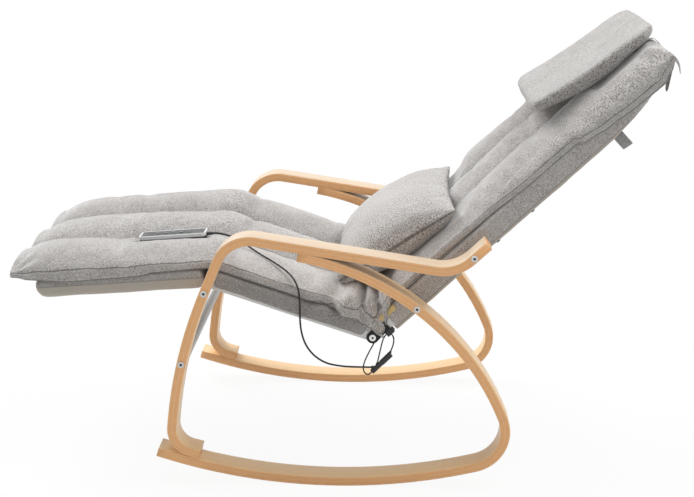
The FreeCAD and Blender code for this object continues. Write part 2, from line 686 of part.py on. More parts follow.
back_cover = new_body("back_cover", back_at)
pad(back_cover, sketch(back_cover, "XZ_Plane", back_profile(0, back_start)), PANEL_WIDTH)
pocket(back_cover, sketch(back_cover, "XZ_Plane", back_profile(cover, back_start - cover)), COVER_SPAN)
spacer_hole = size("spacer_diameter") / 2 + gap
spacer_places = [plane(size(name), 0) for name in ("rear_leg_bolt", "arm_bolt")]
pocket(back_cover, sketch(back_cover, "XZ_Plane", [circle(at, spacer_hole) for at in spacer_places]))
back_foam_high = half_back - cover - gap
foam_board("back_foam", back_at, back_start - size("corner_radius"), back_length - 2 * size("corner_radius"),
           foam_low, back_foam_high)
foam_board("back_rear_wadding", back_at, back_start + gap, taper_x - tube,
           -back_foam_high, size("wadding_thickness") - back_foam_high)
back_first = size("rear_leg_bolt") + size("strap_width")
webbing("back_webbing", back_at, [back_first + step * strap_pitch * 1.5 for step in range(5)])
motors("back_motors", back_at, [(back_first + (step + 0.5) * strap_pitch * 1.5, across)
                                for step in (0, 2) for across in motor_rows], foam_low)

# Studs and the webbing loop on the rear of the back
studs = []
for along in (size("stud_first"), size("stud_second")):
    for side in SIDES.values():
        stud = doc.addObject("Part::Cone", "stud")
        stud.setExpression("Radius1", "sizes.stud_diameter / 2")
        stud.setExpression("Radius2", "sizes.stud_diameter / 3")
        stud.setExpression("Height", "sizes.stud_height")
        seat = Vector(size("arm_bolt") + along, side * (panel_half - size("stud_inset")), -half_back)
        stud.Placement = back_at.multiply(Placement(seat, Rotation(Vector(1, 0, 0), 180)))
        studs.append(stud)
group("back_studs", studs)
loop_spot = Vector(back_length - size("loop_drop"), size("loop_inset") - panel_half, -half_back)
loop = new_body("back_strap_loop", back_at.multiply(Placement(loop_spot, Rotation())))
half_span = size("loop_span") / 2
depth = size("loop_depth")
loop_corners = [plane(-half_span, 0), plane(-half_span, -depth),
                plane(half_span, -depth), plane(half_span, 0)]
loop_line = rounded(loop_corners, [half_span / 2] * 2)
pad(loop, sketch(loop, "YZ_Plane", band(loop_line, size("loop_thickness"))), "sizes.loop_band",
    symmetric=False)


# Long cushion: three lobes between sewn channels, a boxed edge, lofted along each panel
def cushion_section(share, lean, skin):
    """Cross-section at a share of the full height, in a plane that leans, a skin's depth inside."""
    stretch = share / math.cos(math.radians(lean))
    lobe = (panel_half - size("cushion_inset")) / 3
    half = 3 * lobe - skin
    side_top = size("boxing") * stretch - skin
    channel = size("channel_height") * stretch - skin
    outer = size("outer_crest") * stretch - skin
    draw = size("side_draw")
    low_left = plane(draw - half, skin)
    low_right = plane(half - draw, skin)
    tops = [plane(half, side_top), plane(lobe, channel), plane(-lobe, channel), plane(-half, side_top)]
    middle = size("middle_crest") * stretch - skin
    crests = [plane(2 * lobe, outer), plane(0, middle), plane(-2 * lobe, outer)]
    outline = [Part.LineSegment(low_left, low_right), Part.LineSegment(low_right, tops[0])]
    for start, crest, end in zip(tops, crests, tops[1:]):
        outline.append(Part.Arc(start, crest, end))
    outline.append(Part.LineSegment(tops[-1], low_left))
    return outline


def loft(body, kind, sections):
    feature = body.newObject("PartDesign::" + kind, body.Label + "_loft")
    feature.Profile = sections[0]
    feature.Sections = [(section, [""]) for section in sections[1:]]
    feature.Ruled = True


def cushion(label, place, base, skin, stations):
    """Hollow loft through stations: distance along the panel, share of height, lean in degrees."""
    body = new_body(label, place)
    travel = 1 if stations[-1][0] > stations[0][0] else -1
    filled = [station for station in stations if station[1] > 0.85]
    inside = [(along, share, lean) for along, share, lean in filled]
    for index, inward in ((0, travel), (-1, -travel)):
        along, share, lean = inside[index]
        inside[index] = (along + inward * skin / math.cos(math.radians(lean)), share, lean)
    for kind, depth, places in (("AdditiveLoft", 0, stations), ("SubtractiveLoft", skin, inside)):
        sections = []
        for along, share, lean in places:
            offset = Placement(Vector(0, base, along), Rotation(Vector(1, 0, 0), lean))
            sections.append(sketch(body, "YZ_Plane", cushion_section(share, lean, depth), offset))
        loft(body, kind, sections)
    return body


panel_base = panel_high + gap
back_base = half_back + gap
front_lean = (size("seat_slope") + size("legrest_slope")) / 2
rear_lean = (size("seat_slope") + size("back_slope")) / 2
fold = math.radians(2 * rear_lean)
seat_short = (back_base - panel_base * math.cos(fold)) / math.sin(fold)
back_short = (panel_base - back_base * math.cos(fold)) / math.sin(fold)
toe = legrest_length + size("toe_overhang")
cushion_top = back_length + size("top_overhang")
head_rest = 0.92 * cushion_top
front_shift = panel_base * math.tan(math.radians(front_lean))
cushion("legrest_cushion", legrest_at, panel_base, size("legrest_skin"),
        [(front_shift - gap, 1, front_lean), (-0.3 * toe, 1, 0), (-0.72 * toe, 1, 0), (-0.88 * toe, 0.9, 0),
         (-0.96 * toe, 0.68, 0), (-toe, 0.42, 0)])
cushion("seat_cushion", seat_at, panel_base, size("cushion_skin"),
        [(gap - front_shift, 1, -front_lean), (0.4 * seat_length, 1, 0),
         (seat_length - seat_short - gap, 1, -rear_lean)])
cushion("back_cushion", back_at, back_base, size("cushion_skin"),
        [(back_short + gap, 1, rear_lean), (0.3 * cushion_top, 1, 0), (head_rest, 1, 0),
         (0.96 * cushion_top, 0.86, 0), (0.985 * cushion_top, 0.66, 0), (cushion_top, 0.42, 0)])

# Lumbar pillow: flat where it rests on the back cushion, crowned in front, thin at its seams
crest_plane = back_base + size("middle_crest") + gap
lumbar = new_body("lumbar_pillow", back_at)


def lumbar_section(across, swell, draw, skin):
    """Side outline of the pillow at a share of its half width, a skin's depth inside it."""
    low = size("lumbar_start") + draw + 3 * skin
    high = size("lumbar_start") + size("lumbar_length") - draw - 3 * skin
    rest = crest_plane + skin
    seam = rest + size("seam_height")
    crown = crest_plane + size("seam_height") * (1 - swell) + size("lumbar_thickness") * swell - skin
    outline = [
        Part.LineSegment(plane(low, rest), plane(high, rest)),
        Part.LineSegment(plane(high, rest), plane(high, seam)),
        Part.Arc(plane(high, seam), plane((low + high) / 2, crown), plane(low, seam)),
        Part.LineSegment(plane(low, seam), plane(low, rest)),
    ]
    offset = Placement(Vector(0, 0, -across * size("lumbar_width") / 2), Rotation())
    return sketch(lumbar, "XZ_Plane", outline, offset)


lumbar_stations = [(-1, 0.04, 0), (-0.8, 0.62, 6), (-0.45, 0.93, 11), (0, 1, 13),
                   (0.45, 0.93, 11), (0.8, 0.62, 6), (1, 0.04, 0)]
loft(lumbar, "AdditiveLoft", [lumbar_section(*station, 0) for station in lumbar_stations])
loft(lumbar, "SubtractiveLoft",
     [lumbar_section(*station, size("pillow_skin")) for station in lumbar_stations[1:-1]])

# Head pillow: a contoured block, tilted up from the cushion, with two ribbon ties over the top
head_tilt = size("head_tilt")
head_start = back_length - size("head_drop")
head_foot = crest_plane + (head_rest - head_start) * math.tan(math.radians(head_tilt))
head_at = back_at.multiply(Placement(Vector(head_start, 0, head_foot),
                                     Rotation(Vector(0, 1, 0), head_tilt)))
head_length = size("head_length")
head_thick = size("head_thickness")
head = new_body("head_pillow", head_at)


def head_outline(skin):
    """Side outline of the block, a skin's depth inside it."""
    end = head_length - skin
    radius = size("head_round") - skin
    return closed(
        [plane(skin, skin), plane(end, skin), plane(end, head_thick * 0.85 - skin),
         plane(head_length * 0.45, head_thick * 0.8 - skin), plane(skin, head_thick - skin)],
        [radius, radius, radius, 4 * head_thick, radius])


pad(head, sketch(head, "XZ_Plane", head_outline(0)), "sizes.head_width")
pocket(head, sketch(head, "XZ_Plane", head_outline(size("pillow_skin"))),
       "sizes.head_width - 2 * sizes.pillow_skin")
tie_offset = size("head_width") / 2 - size("tie_inset")
for side_name, side in SIDES.items():
    tie = new_body(side_name + "_head_tie",
                   back_at.multiply(Placement(Vector(0, side * tie_offset, 0), Rotation())))
    over = cushion_top + 4 * size("tie_thickness")
    start_x = cushion_top - size("tie_reach")
    start_z = crest_plane + (head_rest - start_x) * math.tan(math.radians(head_tilt))
    start_z -= gap + size("tie_thickness") / 2 + 0.1
    tie_line = rounded(
        [plane(start_x, start_z), plane(over, back_base + 1.4 * size("boxing")),
         plane(over + size("tie_thickness"), -half_back / 2),
         plane(over - 1.5 * half_back, -1.9 * half_back)],
        [half_back / 2, half_back])
    pad(tie, sketch(tie, "XZ_Plane", band(tie_line, size("tie_thickness"))), "sizes.tie_width")

# Hand control lying on the leg rest: two shells, a board, five sprung keys and a strain relief
lobe_top = cushion_section(1, 0, 0)[2].toShape().BoundBox.YMax
remote_base = panel_base + lobe_top + gap
remote_mid = -size("remote_rear_gap") - size("remote_length") / 2
remote_spot = Vector(remote_mid, size("remote_inset") - panel_half, remote_base)
remote_at = legrest_at.multiply(Placement(remote_spot, Rotation()))


def remote_outline(inset):
    half_length = size("remote_length") / 2 - inset
    half_width = size("remote_width") / 2 - inset
    radius = size("remote_round") - inset
    return closed([plane(-half_length, -half_width), plane(half_length, -half_width),
                   plane(half_length, half_width), plane(-half_length, half_width)], [radius] * 4)


half_height = size("remote_height") / 2
remote_wall = size("remote_wall")
lower = new_body("remote_lower_shell", remote_at)
pad(lower, sketch(lower, "XY_Plane", remote_outline(0)), "sizes.remote_height / 2", symmetric=False)
floor = Placement(Vector(0, 0, remote_wall), Rotation())
pocket(lower, sketch(lower, "XY_Plane", remote_outline(remote_wall), floor),
       "sizes.remote_height", symmetric=False, reverse=True)
upper = new_body("remote_upper_shell",
                 remote_at.multiply(Placement(Vector(0, 0, half_height), Rotation())))
pad(upper, sketch(upper, "XY_Plane", remote_outline(0)), "sizes.remote_height / 2", symmetric=False)
pocket(upper, sketch(upper, "XY_Plane", remote_outline(remote_wall)),
       "sizes.remote_height / 2 - sizes.remote_wall", symmetric=False, reverse=True)
key_names = ["power", "heat", "zone", "mode", "speed"]
key_places = [plane((step - 2) * size("key_pitch"), 0) for step in range(len(key_names))]
key_hole = size("key_diameter") / 2 + size("key_play")
pocket(upper, sketch(upper, "XY_Plane", [circle(at, key_hole) for at in key_places]),
       "sizes.remote_height", symmetric=False, reverse=True)
board = new_body("remote_board", remote_at.multiply(Placement(Vector(0, 0, remote_wall), Rotation())))
pad(board, sketch(board, "XY_Plane", remote_outline(remote_wall + gap)), "sizes.board_thickness",
    symmetric=False)
for key_name, at in zip(key_names, key_places):
    key = doc.addObject("Part::Cylinder", key_name + "_key_can")
    key.setExpression("Radius", "sizes.key_diameter / 2")
    key.setExpression("Height", "sizes.key_height")
    key_low = size("remote_height") + size("key_proud") - size("key_height")
    key.Placement = remote_at.multiply(Placement(Vector(at.x, at.y, key_low), Rotation()))
    name_node(key, "remote_%s_key" % key_name)
relief = doc.addObject("Part::Cone", "relief_cone")
relief.setExpression("Radius1", "sizes.relief_base / 2")
relief.setExpression("Radius2", "sizes.relief_tip / 2")
relief.setExpression("Height", "sizes.relief_length")
relief.Placement = remote_at.multiply(
    Placement(Vector(size("remote_length") / 2, 0, half_height), Rotation(Vector(0, 1, 0), 90)))
name_node(relief, "remote_strain_relief")

# Harness under the hinge: a plug with three entries, its socket, and the clamp on the back


def hinge_points(points):
    """Points given as distances from the back's hinge line, and in from the panel's left side."""
    return [Vector(hinge.x + along, inset - panel_half, hinge.z + up) for along, inset, up in points]


plug_low, plug_high = hinge_points([(-1, 8, -79), (38, 8, -39)])
plug_axis = (plug_high - plug_low).normalize()
plug_middle = (plug_low + plug_high) * 0.5


def stub(label, start, axis, radius, length):
    """A short round piece from a start point along an axis."""
    feature = doc.addObject("Part::Cylinder", label)
    feature.setExpression("Radius", radius)
    feature.setExpression("Height", length)
    feature.Placement = Placement(start, Rotation(Vector(0, 0, 1), axis))
    return feature


PLUG_LENGTH = "%r" % (plug_middle - plug_low).Length
plug_radius = size("plug_diameter") / 2
side_entry = plug_low + plug_axis * 14
top_entry = plug_low + plug_axis * 12
entry_reach = "sizes.plug_diameter / 2 + sizes.entry_length"
LEAD_ENTRY = "sizes.harness_lead / 2 + sizes.entry_wall"
cord_axis = Vector(-1, 0, 0)
lead_axis = Vector(0.23, 0, 0.97).normalize()
name_node(fuse("plug_solid", [
    stub("plug_body", plug_low, plug_axis, "sizes.plug_diameter / 2", PLUG_LENGTH),
    stub("plug_cord_entry", side_entry, cord_axis, "sizes.remote_cord / 2 + sizes.entry_wall",
         entry_reach),
    stub("plug_lead_entry", top_entry, lead_axis, LEAD_ENTRY, entry_reach),
]), "harness_plug")
socket_axis = Vector(0.35, 0, 0.94).normalize()
socket_entry = plug_high - plug_axis * 6
name_node(fuse("socket_solid", [
    stub("socket_body", plug_middle, plug_axis, "sizes.plug_diameter / 2 + sizes.socket_lip", PLUG_LENGTH),
    stub("socket_entry", socket_entry, socket_axis, LEAD_ENTRY, entry_reach),
]), "harness_socket")
clamp_side = size("clamp_inset") - panel_half - size("clamp_width") / 2
clamp_low = Vector(back_start - size("clamp_length"), clamp_side, -back_foam_high)
name_node(box("clamp_block", clamp_low, "sizes.clamp_length", "sizes.clamp_width", "sizes.clamp_height",
              back_at), "cable_clamp")


# Cords: straight runs joined by the largest tangent arcs that the runs leave room for
def cord(label, points, diameter):
    edges = []
    radii = []
    length = 0.0
    start = points[0]
    for before, corner, after in zip(points, points[1:], points[2:]):
        back = (before - corner).normalize()
        ahead = (after - corner).normalize()
        half = math.acos(max(-1.0, min(1.0, back.dot(ahead)))) / 2
        reach = 0.45 * min((before - corner).Length, (after - corner).Length)
        radius = reach * math.tan(half)
        first = corner + back * reach
        last = corner + ahead * reach
        centre = corner + (back + ahead).normalize() * (radius / math.sin(half))
        middle = centre + (corner - centre).normalize() * radius
        edges.append(Part.LineSegment(start, first).toShape())
        edges.append(Part.Arc(first, middle, last).toShape())
        length += (first - start).Length + radius * (math.pi - 2 * half)
        radii.append(radius)
        start = last
    edges.append(Part.LineSegment(start, points[-1]).toShape())
    length += (points[-1] - start).Length
    wire = Part.Wire(edges)
    ring = Part.Wire([Part.Circle(points[0], points[1] - points[0], diameter / 2).toShape()])
    pipe = Part.BRepOffsetAPI.MakePipeShell(wire)
    pipe.add(ring)
    pipe.build()
    pipe.makeSolid()
    feature = doc.addObject("Part::Feature", label + "_tube")
    feature.Shape = pipe.shape()
    name_node(feature, label)
    share = feature.Shape.Volume / (math.pi * diameter ** 2 / 4 * length)
    print("%s length %.0f, radii %s, volume share %.4f" % (
        label, length, ", ".join("%.0f" % radius for radius in radii), share))


def seat_points(points):
    """Points given along the seat, in from the panel's left side, and out of the seat's face."""
    return [seat_at.multVec(Vector(along, inset - panel_half, up)) for along, inset, up in points]


relief_tip = size("remote_length") / 2 + size("relief_length")
relief_end = [remote_at.multVec(Vector(relief_tip + away, 0, half_height)) for away in (gap, 14)]
cord_end = side_entry + cord_axis * (plug_radius + size("entry_length"))
REMOTE_CORD_ROUTE = [
    (26, 120, 77), (52, 100, 74), (82, 78, 72), (112, 60, 71), (140, 40, 69),
    (163, 17, 65), (182, -4, 50), (193, -10, 22), (203, -10, -8), (215, -9, -36),
    (232, -7, -60), (256, -4, -78), (286, 0, -87), (316, 4, -84), (340, 7, -79),
]
cord("remote_cord", relief_end + seat_points(REMOTE_CORD_ROUTE) + [cord_end], size("remote_cord"))
seat_lead_start = seat_points([(seat_end - gap, 32, (foam_low + foam_high) / 2)])[0]
SEAT_LEAD_ROUTE = [
    (6, 32, 17), (11, 31, 4), (7, 27, -13), (-3, 22, -30), (-12, 18, -47),
    (-19, 16, -64), (-20.5, 15, -77.5), (-15, 12, -86),
]
lead_mouth = plug_low - plug_axis * 9
cord("seat_lead", [seat_lead_start] + hinge_points(SEAT_LEAD_ROUTE) + [lead_mouth, plug_low],
     size("harness_lead"))
clamp_rear = back_at.multVec(Vector(back_start - 12, 18 - panel_half, -back_foam_high))
socket_mouth = socket_entry + socket_axis * (plug_radius + size("entry_length"))
BACK_LEAD_ROUTE = [(43.5, 17, -2.2), (44.5, 14, -14), (41.5, 9, -24)]
cord("back_lead", [clamp_rear] + hinge_points(BACK_LEAD_ROUTE) + [socket_mouth], size("harness_lead"))
clamp_end = back_at.multVec(Vector(back_start - size("clamp_length"), 10 - panel_half,
                                   size("clamp_height") / 2 - back_foam_high))
plug_mouth = top_entry + lead_axis * (plug_radius + size("entry_length"))
HEATER_LEAD_ROUTE = [(22.5, 10, -2), (16, 9, -30)]
cord("heater_lead", [clamp_end] + hinge_points(HEATER_LEAD_ROUTE) + [plug_mouth], size("harness_lead"))

# Check every object and write one file for each sub-part
doc.recompute()
for obj in doc.Objects:
    if "Invalid" in obj.State or "Error" in obj.State:
        raise RuntimeError("%s failed: %s" % (obj.Label, obj.State))
os.makedirs("parts", exist_ok=True)
for obj in nodes:
    shape = obj.Shape
    if shape.isNull() or not shape.isValid() or not shape.Solids:
        raise RuntimeError("%s has no valid solid" % obj.Label)
for obj in nodes:
    obj.Shape.exportStep("parts/%s.step" % obj.Label)
print("%d sub-parts written" % len(nodes))
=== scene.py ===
import math
import bmesh
import bpy
from mathutils import Matrix, Vector, noise


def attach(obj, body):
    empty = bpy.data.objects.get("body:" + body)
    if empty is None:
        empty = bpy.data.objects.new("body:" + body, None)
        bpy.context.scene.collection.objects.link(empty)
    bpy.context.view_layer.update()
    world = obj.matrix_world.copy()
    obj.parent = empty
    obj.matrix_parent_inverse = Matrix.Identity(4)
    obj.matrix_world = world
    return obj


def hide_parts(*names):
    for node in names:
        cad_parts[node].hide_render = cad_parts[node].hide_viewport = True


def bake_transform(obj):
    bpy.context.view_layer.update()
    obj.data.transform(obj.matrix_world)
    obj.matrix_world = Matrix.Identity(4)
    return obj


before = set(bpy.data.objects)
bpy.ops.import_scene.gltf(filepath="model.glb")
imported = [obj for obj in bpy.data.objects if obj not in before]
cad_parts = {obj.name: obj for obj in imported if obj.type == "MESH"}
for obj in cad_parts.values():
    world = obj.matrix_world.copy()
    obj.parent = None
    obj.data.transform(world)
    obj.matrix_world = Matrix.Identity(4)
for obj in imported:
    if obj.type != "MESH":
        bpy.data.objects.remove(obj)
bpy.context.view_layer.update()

# Side frames: four strips of bent beech, each glued up from thin veneers over a former.
# An arm strip runs from its foot up the front leg, over the arm and along the back; a rocker strip
# runs from under the arm down the rear leg, round the heel and along the floor.
STRIP_WIDTH = 0.055
STRIP_THICKNESS = 0.020
STRIP_EASE = 0.0028
STRIP_SPACING = 0.610
SIDES = {"left": -1, "right": 1}
BEND_STEP = math.radians(2.5)
GENTLE_BEND = math.radians(40)
ROUND_Y = Vector((0, 1, 0))
# each bend: centre x and z of its former, and how far it turns about the former in degrees
ARM_START = Vector((-0.29200, 0, 0.06458))
ARM_HEADING = Vector((-0.970613, 0, 0.240637))
ARM_BENDS = [
    (-0.0105, 1.2000, 1.0298), (-0.299458, 0.118124, 80.5925), (0.646094, 0.026302, 17.5136),
    ("run", 0.07300), (-0.179160, 0.456962, 75.6398), ("run", 0.36888),
    (0.209226, 0.556358, -52.2000), ("run", 0.04436),
]
ROCKER_START = Vector((-0.08300, 0, 0.49785))
ROCKER_HEADING = Vector((0.984763, 0, -0.173862))
ROCKER_BENDS = [(-0.180362, -0.053618, 58.1673), (0.265248, 0.124796, 97.4362), (-0.0105, 1.2000, 32.5244)]


def adjusted(thing, **settings):
    """A thing with some of its settings changed."""
    for name, value in settings.items():
        setattr(thing, name, value)
    return thing


def linked(name, data):
    """An object of some data, put into the scene."""
    thing = bpy.data.objects.new(name, data)
    bpy.context.scene.collection.objects.link(thing)
    return thing


def new_piece(name, bm, *finishes):
    """A smooth-shaded object at the origin from a bmesh."""
    mesh = bpy.data.meshes.new(name)
    bm.to_mesh(mesh)
    bm.free()
    for finish in finishes:
        mesh.materials.append(finish)
    mesh.shade_smooth()
    return linked(name, mesh)


def belongs(piece, body, slot, *nodes):
    """The body that a piece rides and the CAD nodes that it stands for, which are hidden; its material slot
    is not used.
    """
    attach(piece, body)
    if nodes:
        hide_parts(*nodes)


def of_kind(items, kind):
    return [item for item in items if isinstance(item, kind)]


def tilted(place, slope):
    """A place with its axes turned about Y by a slope in degrees."""
    return Matrix.Translation(place) @ Matrix.Rotation(math.radians(slope), 4, "Y")


def aimed(place, way):
    """The place of a camera or a lamp that looks one way."""
    return Matrix.Translation(place) @ way.to_track_quat("-Z", "Y").to_matrix().to_4x4()


def rounded(bm, geom, offset, segments, affect="EDGES", **more):
    """Round the edges or corners of a mesh."""
    bmesh.ops.bevel(bm, geom=geom, offset=offset, segments=segments, profile=0.5, affect=affect,
                    material=-1, **more)


def extruded(bm, rim, move):
    """Draw a rim of edges out by a move, and return its new points and edges."""
    made = bmesh.ops.extrude_edge_only(bm, edges=rim)["geom"]
    fresh = set(of_kind(made, bmesh.types.BMVert))
    bmesh.ops.translate(bm, verts=list(fresh), vec=move)
    return fresh, [edge for edge in of_kind(made, bmesh.types.BMEdge) if fresh.issuperset(edge.verts)]


def bent_strip(name, start, heading, bends, side):
    """A strip with eased edges, drawn along its bends, that knows its depth in the plies and its length."""
    bm = bmesh.new()
    ply = bm.verts.layers.float.new("ply")
    along = bm.verts.layers.float.new("along")
    bmesh.ops.create_grid(bm, x_segments=1, y_segments=1, size=0.5)
    bmesh.ops.scale(bm, vec=(STRIP_THICKNESS, STRIP_WIDTH, 1), verts=bm.verts)
    rounded(bm, bm.verts[:], STRIP_EASE, 3, "VERTICES")
    for vert in bm.verts:
        vert[ply] = vert.co.x / (STRIP_THICKNESS / 2)
    normal = ROUND_Y.cross(heading)
    turned = Matrix((normal, ROUND_Y, heading)).transposed().to_4x4()
    place = Matrix.Translation(start + ROUND_Y * side * STRIP_SPACING / 2) @ turned
    bmesh.ops.transform(bm, matrix=place, verts=bm.verts)
    rim = bm.edges[:]
    travelled = 0.0
    for bend in bends:
        if bend[0] == "run":
            fresh, rim = extruded(bm, rim, heading * bend[1])
            travelled += bend[1]
            for vert in fresh:
                vert[along] = travelled
            continue
        centre = Vector((bend[0], 0, bend[1]))
        angle = math.radians(bend[2])
        steps = max(2, round(abs(angle) / BEND_STEP))
        if abs(angle) < GENTLE_BEND:
            steps *= 2
        for step in range(steps):
            verts = list({vert for edge in rim for vert in edge.verts})
            middle = sum((vert.co for vert in verts), Vector()) / len(verts)
            radius = Vector((middle.x - centre.x, 0, middle.z - centre.z)).length
            last = bmesh.ops.spin(bm, geom=rim, cent=centre, axis=ROUND_Y, angle=angle / steps,
                                  steps=1)["geom_last"]
            rim = of_kind(last, bmesh.types.BMEdge)
            travelled += radius * abs(angle) / steps
            for vert in {vert for edge in rim for vert in edge.verts}:
                vert[along] = travelled
        heading = Matrix.Rotation(angle, 3, "Y") @ heading
    bmesh.ops.contextual_create(bm, geom=rim)
    bmesh.ops.recalc_face_normals(bm, faces=bm.faces[:])
    return new_piece(name, bm, bent_beech)


def add_node(tree, kind, inputs=None, **settings):
    """One shader node, with values or other nodes' outputs on its sockets."""
    node = tree.nodes.new(kind if kind.startswith("NodeGroup") else "ShaderNode" + kind)
    adjusted(node, **settings)
    for socket, value in (inputs or {}).items():
        if isinstance(value, bpy.types.NodeSocket):
            tree.links.new(value, node.inputs[socket])
        else:
            node.inputs[socket].default_value = value
    return node


def maths(tree, operation, first, second=0.5, third=0.5):
    return add_node(tree, "Math", {0: first, 1: second, 2: third}, operation=operation).outputs[0]


def blended(tree, share, first, second, most=1.0):
    """A mix of two colours by a share, which is scaled to the most that it may take."""
    if most < 1.0:
        share = maths(tree, "MULTIPLY", share, most)
    first, second = [(*colour, 1) if isinstance(colour, tuple) else colour for colour in (first, second)]
    return add_node(tree, "Mix", {0: share, 6: first, 7: second}, data_type="RGBA").outputs[2]


def object_place(tree):
    return add_node(tree, "TexCoord").outputs["Object"]


def stretched(tree, vector, scales):
    return add_node(tree, "VectorMath", {0: vector, 1: scales}, operation="MULTIPLY").outputs[0]


def axes(tree, vector):
    """The three parts of a vector."""
    return add_node(tree, "SeparateXYZ", {0: vector}).outputs


def speckle(tree, vector, scale=1.0, detail=2.0, rough=0.5):
    node = add_node(tree, "TexNoise",
                    {"Vector": vector, "Scale": scale, "Detail": detail, "Roughness": rough})
    return node.outputs["Fac"]


def between(tree, value, low, high):
    """A smooth step of a value from 0 at low to 1 at high."""
    node = add_node(tree, "MapRange", {"Value": value, "From Min": low, "From Max": high},
                    interpolation_type="SMOOTHSTEP")
    return node.outputs["Result"]


def new_finish(name, **sockets):
    """A material and its node tree and shader, with constant sockets set on the shader."""
    material = bpy.data.materials.new(name)
    material.use_nodes = True
    shader = material.node_tree.nodes["Principled BSDF"]
    for socket, value in sockets.items():
        shader.inputs[socket.replace("_", " ")].default_value = value
    return material, material.node_tree, shader


def feed(tree, shader, colour=None, roughness=None, height=None, strength=0.3, distance=0.001):
    """Link colour, roughness and relief to a shader."""
    if colour is not None:
        tree.links.new(colour, shader.inputs["Base Color"])
    if roughness is not None:
        tree.links.new(roughness, shader.inputs["Roughness"])
    if height is not None:
        bump = add_node(tree, "Bump",
                        {"Strength": strength, "Distance": distance, "Height": height})
        tree.links.new(bump.outputs["Normal"], shader.inputs["Normal"])


PLIES = 9.0
bent_beech, tree, shader = new_finish("bent_beech", Coat_Weight=0.05, Coat_Roughness=0.4)
depth = add_node(tree, "Attribute", attribute_name="ply").outputs["Fac"]
length = add_node(tree, "Attribute", attribute_name="along").outputs["Fac"]
place = axes(tree, object_place(tree))
grain = add_node(tree, "CombineXYZ", {
    0: length, 1: place["Y"], 2: maths(tree, "MULTIPLY", depth, STRIP_THICKNESS / 2)}).outputs[0]
streak = speckle(tree, stretched(tree, grain, (5.0, 160.0, 160.0)), detail=4.0, rough=0.6)
fleck = speckle(tree, stretched(tree, grain, (150.0, 1100.0, 1100.0)), detail=1.0)
fleck = between(tree, fleck, 0.60, 0.72)
cloud = speckle(tree, stretched(tree, grain, (4.0, 14.0, 30.0)), detail=2.0)
face = blended(tree, streak, (0.71, 0.58, 0.44), (0.61, 0.46, 0.315))
face = blended(tree, cloud, face, (0.68, 0.52, 0.36), 0.5)
# painted light: the faces are painted warmer and brighter below the arms, making up for the chair's shade
# over the legs and rockers, and paler on the arms, standing in for the gloss that whitens them
low_face_painted_light = blended(tree, streak, (1.00, 0.72, 0.42), (0.92, 0.62, 0.34))
face = blended(tree, between(tree, place["Z"], 0.36, 0.50), low_face_painted_light, face)
layer = maths(tree, "MULTIPLY", maths(tree, "MULTIPLY_ADD", depth, 0.5, 0.5), PLIES)
layer_tone = add_node(tree, "TexWhiteNoise", {"W": maths(tree, "FLOOR", layer)},
                      noise_dimensions="1D").outputs["Value"]
line = maths(tree, "PINGPONG", layer, 0.5)
glue = maths(tree, "SUBTRACT", 1.0, between(tree, line, 0.02, 0.14))
edge = blended(tree, layer_tone, (1.00, 0.58, 0.27), (0.95, 0.50, 0.21))
edge = blended(tree, streak, edge, (0.74, 0.37, 0.16), 0.32)
edge = blended(tree, glue, edge, (0.50, 0.25, 0.11), 0.55)
on_edge = maths(tree, "SUBTRACT", 1.0, between(tree, maths(tree, "ABSOLUTE", depth), 0.84, 0.97))
wood = blended(tree, on_edge, face, edge)
wood = blended(tree, fleck, wood, (0.42, 0.25, 0.13), 0.30)
feed(tree, shader, wood, maths(tree, "MULTIPLY_ADD", streak, 0.18, 0.30),
     maths(tree, "SUBTRACT", streak, maths(tree, "MULTIPLY", glue, 0.6)), 0.12, 0.0006)

for side_name, side in SIDES.items():
    arm = bent_strip(side_name + "_arm_strip", ARM_START, ARM_HEADING, ARM_BENDS, side)
    belongs(arm, "chair", "bent_beech", side_name + "_arm_and_leg")
    rocker = bent_strip(side_name + "_rocker_strip", ROCKER_START, ROCKER_HEADING, ROCKER_BENDS, side)
    belongs(rocker, "chair", "bent_beech", side_name + "_rocker")


# Fasteners: hex socket bolts through the side frames, screws under the foot laps, and the sleeves and
# threaded inserts that they pull on. Zinc-plated steel, turned and pressed, with broken edges.
MERGE = 0.00002
LEVEL = math.radians(1.0)
SHARP = math.radians(35.0)
CREASE = math.radians(30)


def machined(name, node, ease, body, slot, *finishes):
    """A copy of a machined node, in its place, with its doubles merged and its sharp edges broken."""
    bm = bmesh.new()
    bm.from_mesh(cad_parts[node].data)
    bmesh.ops.remove_doubles(bm, verts=bm.verts[:], dist=MERGE)
    bmesh.ops.dissolve_limit(bm, angle_limit=LEVEL, verts=bm.verts[:], edges=bm.edges[:])
    sharp = [edge for edge in bm.edges if len(edge.link_faces) == 2 and edge.calc_face_angle(0.0) > SHARP]
    rounded(bm, sharp, ease, 2, clamp_overlap=True)
    piece = new_piece(name, bm, *finishes)
    piece.data.shade_flat()
    piece.data.set_sharp_from_angle(angle=CREASE)
    for polygon in piece.data.polygons:
        polygon.use_smooth = True
    belongs(piece, body, slot, node)
    return piece


def paint(finish, *nodes):
    """Give CAD nodes their finish."""
    for node in nodes:
        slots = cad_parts[node].data.materials
        slots.clear()
        slots.append(finish)


def speckled(name, grain, detail, first, second, rough, relief=None, **sockets):
    """A finish of two tones in fine speckles, which vary its roughness and its relief too."""
    finish, tree, shader = new_finish(name, **sockets)
    spots = speckle(tree, stretched(tree, object_place(tree), grain), 1.0, detail)
    feed(tree, shader, blended(tree, spots, first, second), maths(tree, "MULTIPLY_ADD", spots, *rough))
    if relief:
        feed(tree, shader, None, None, spots, *relief)
    return finish


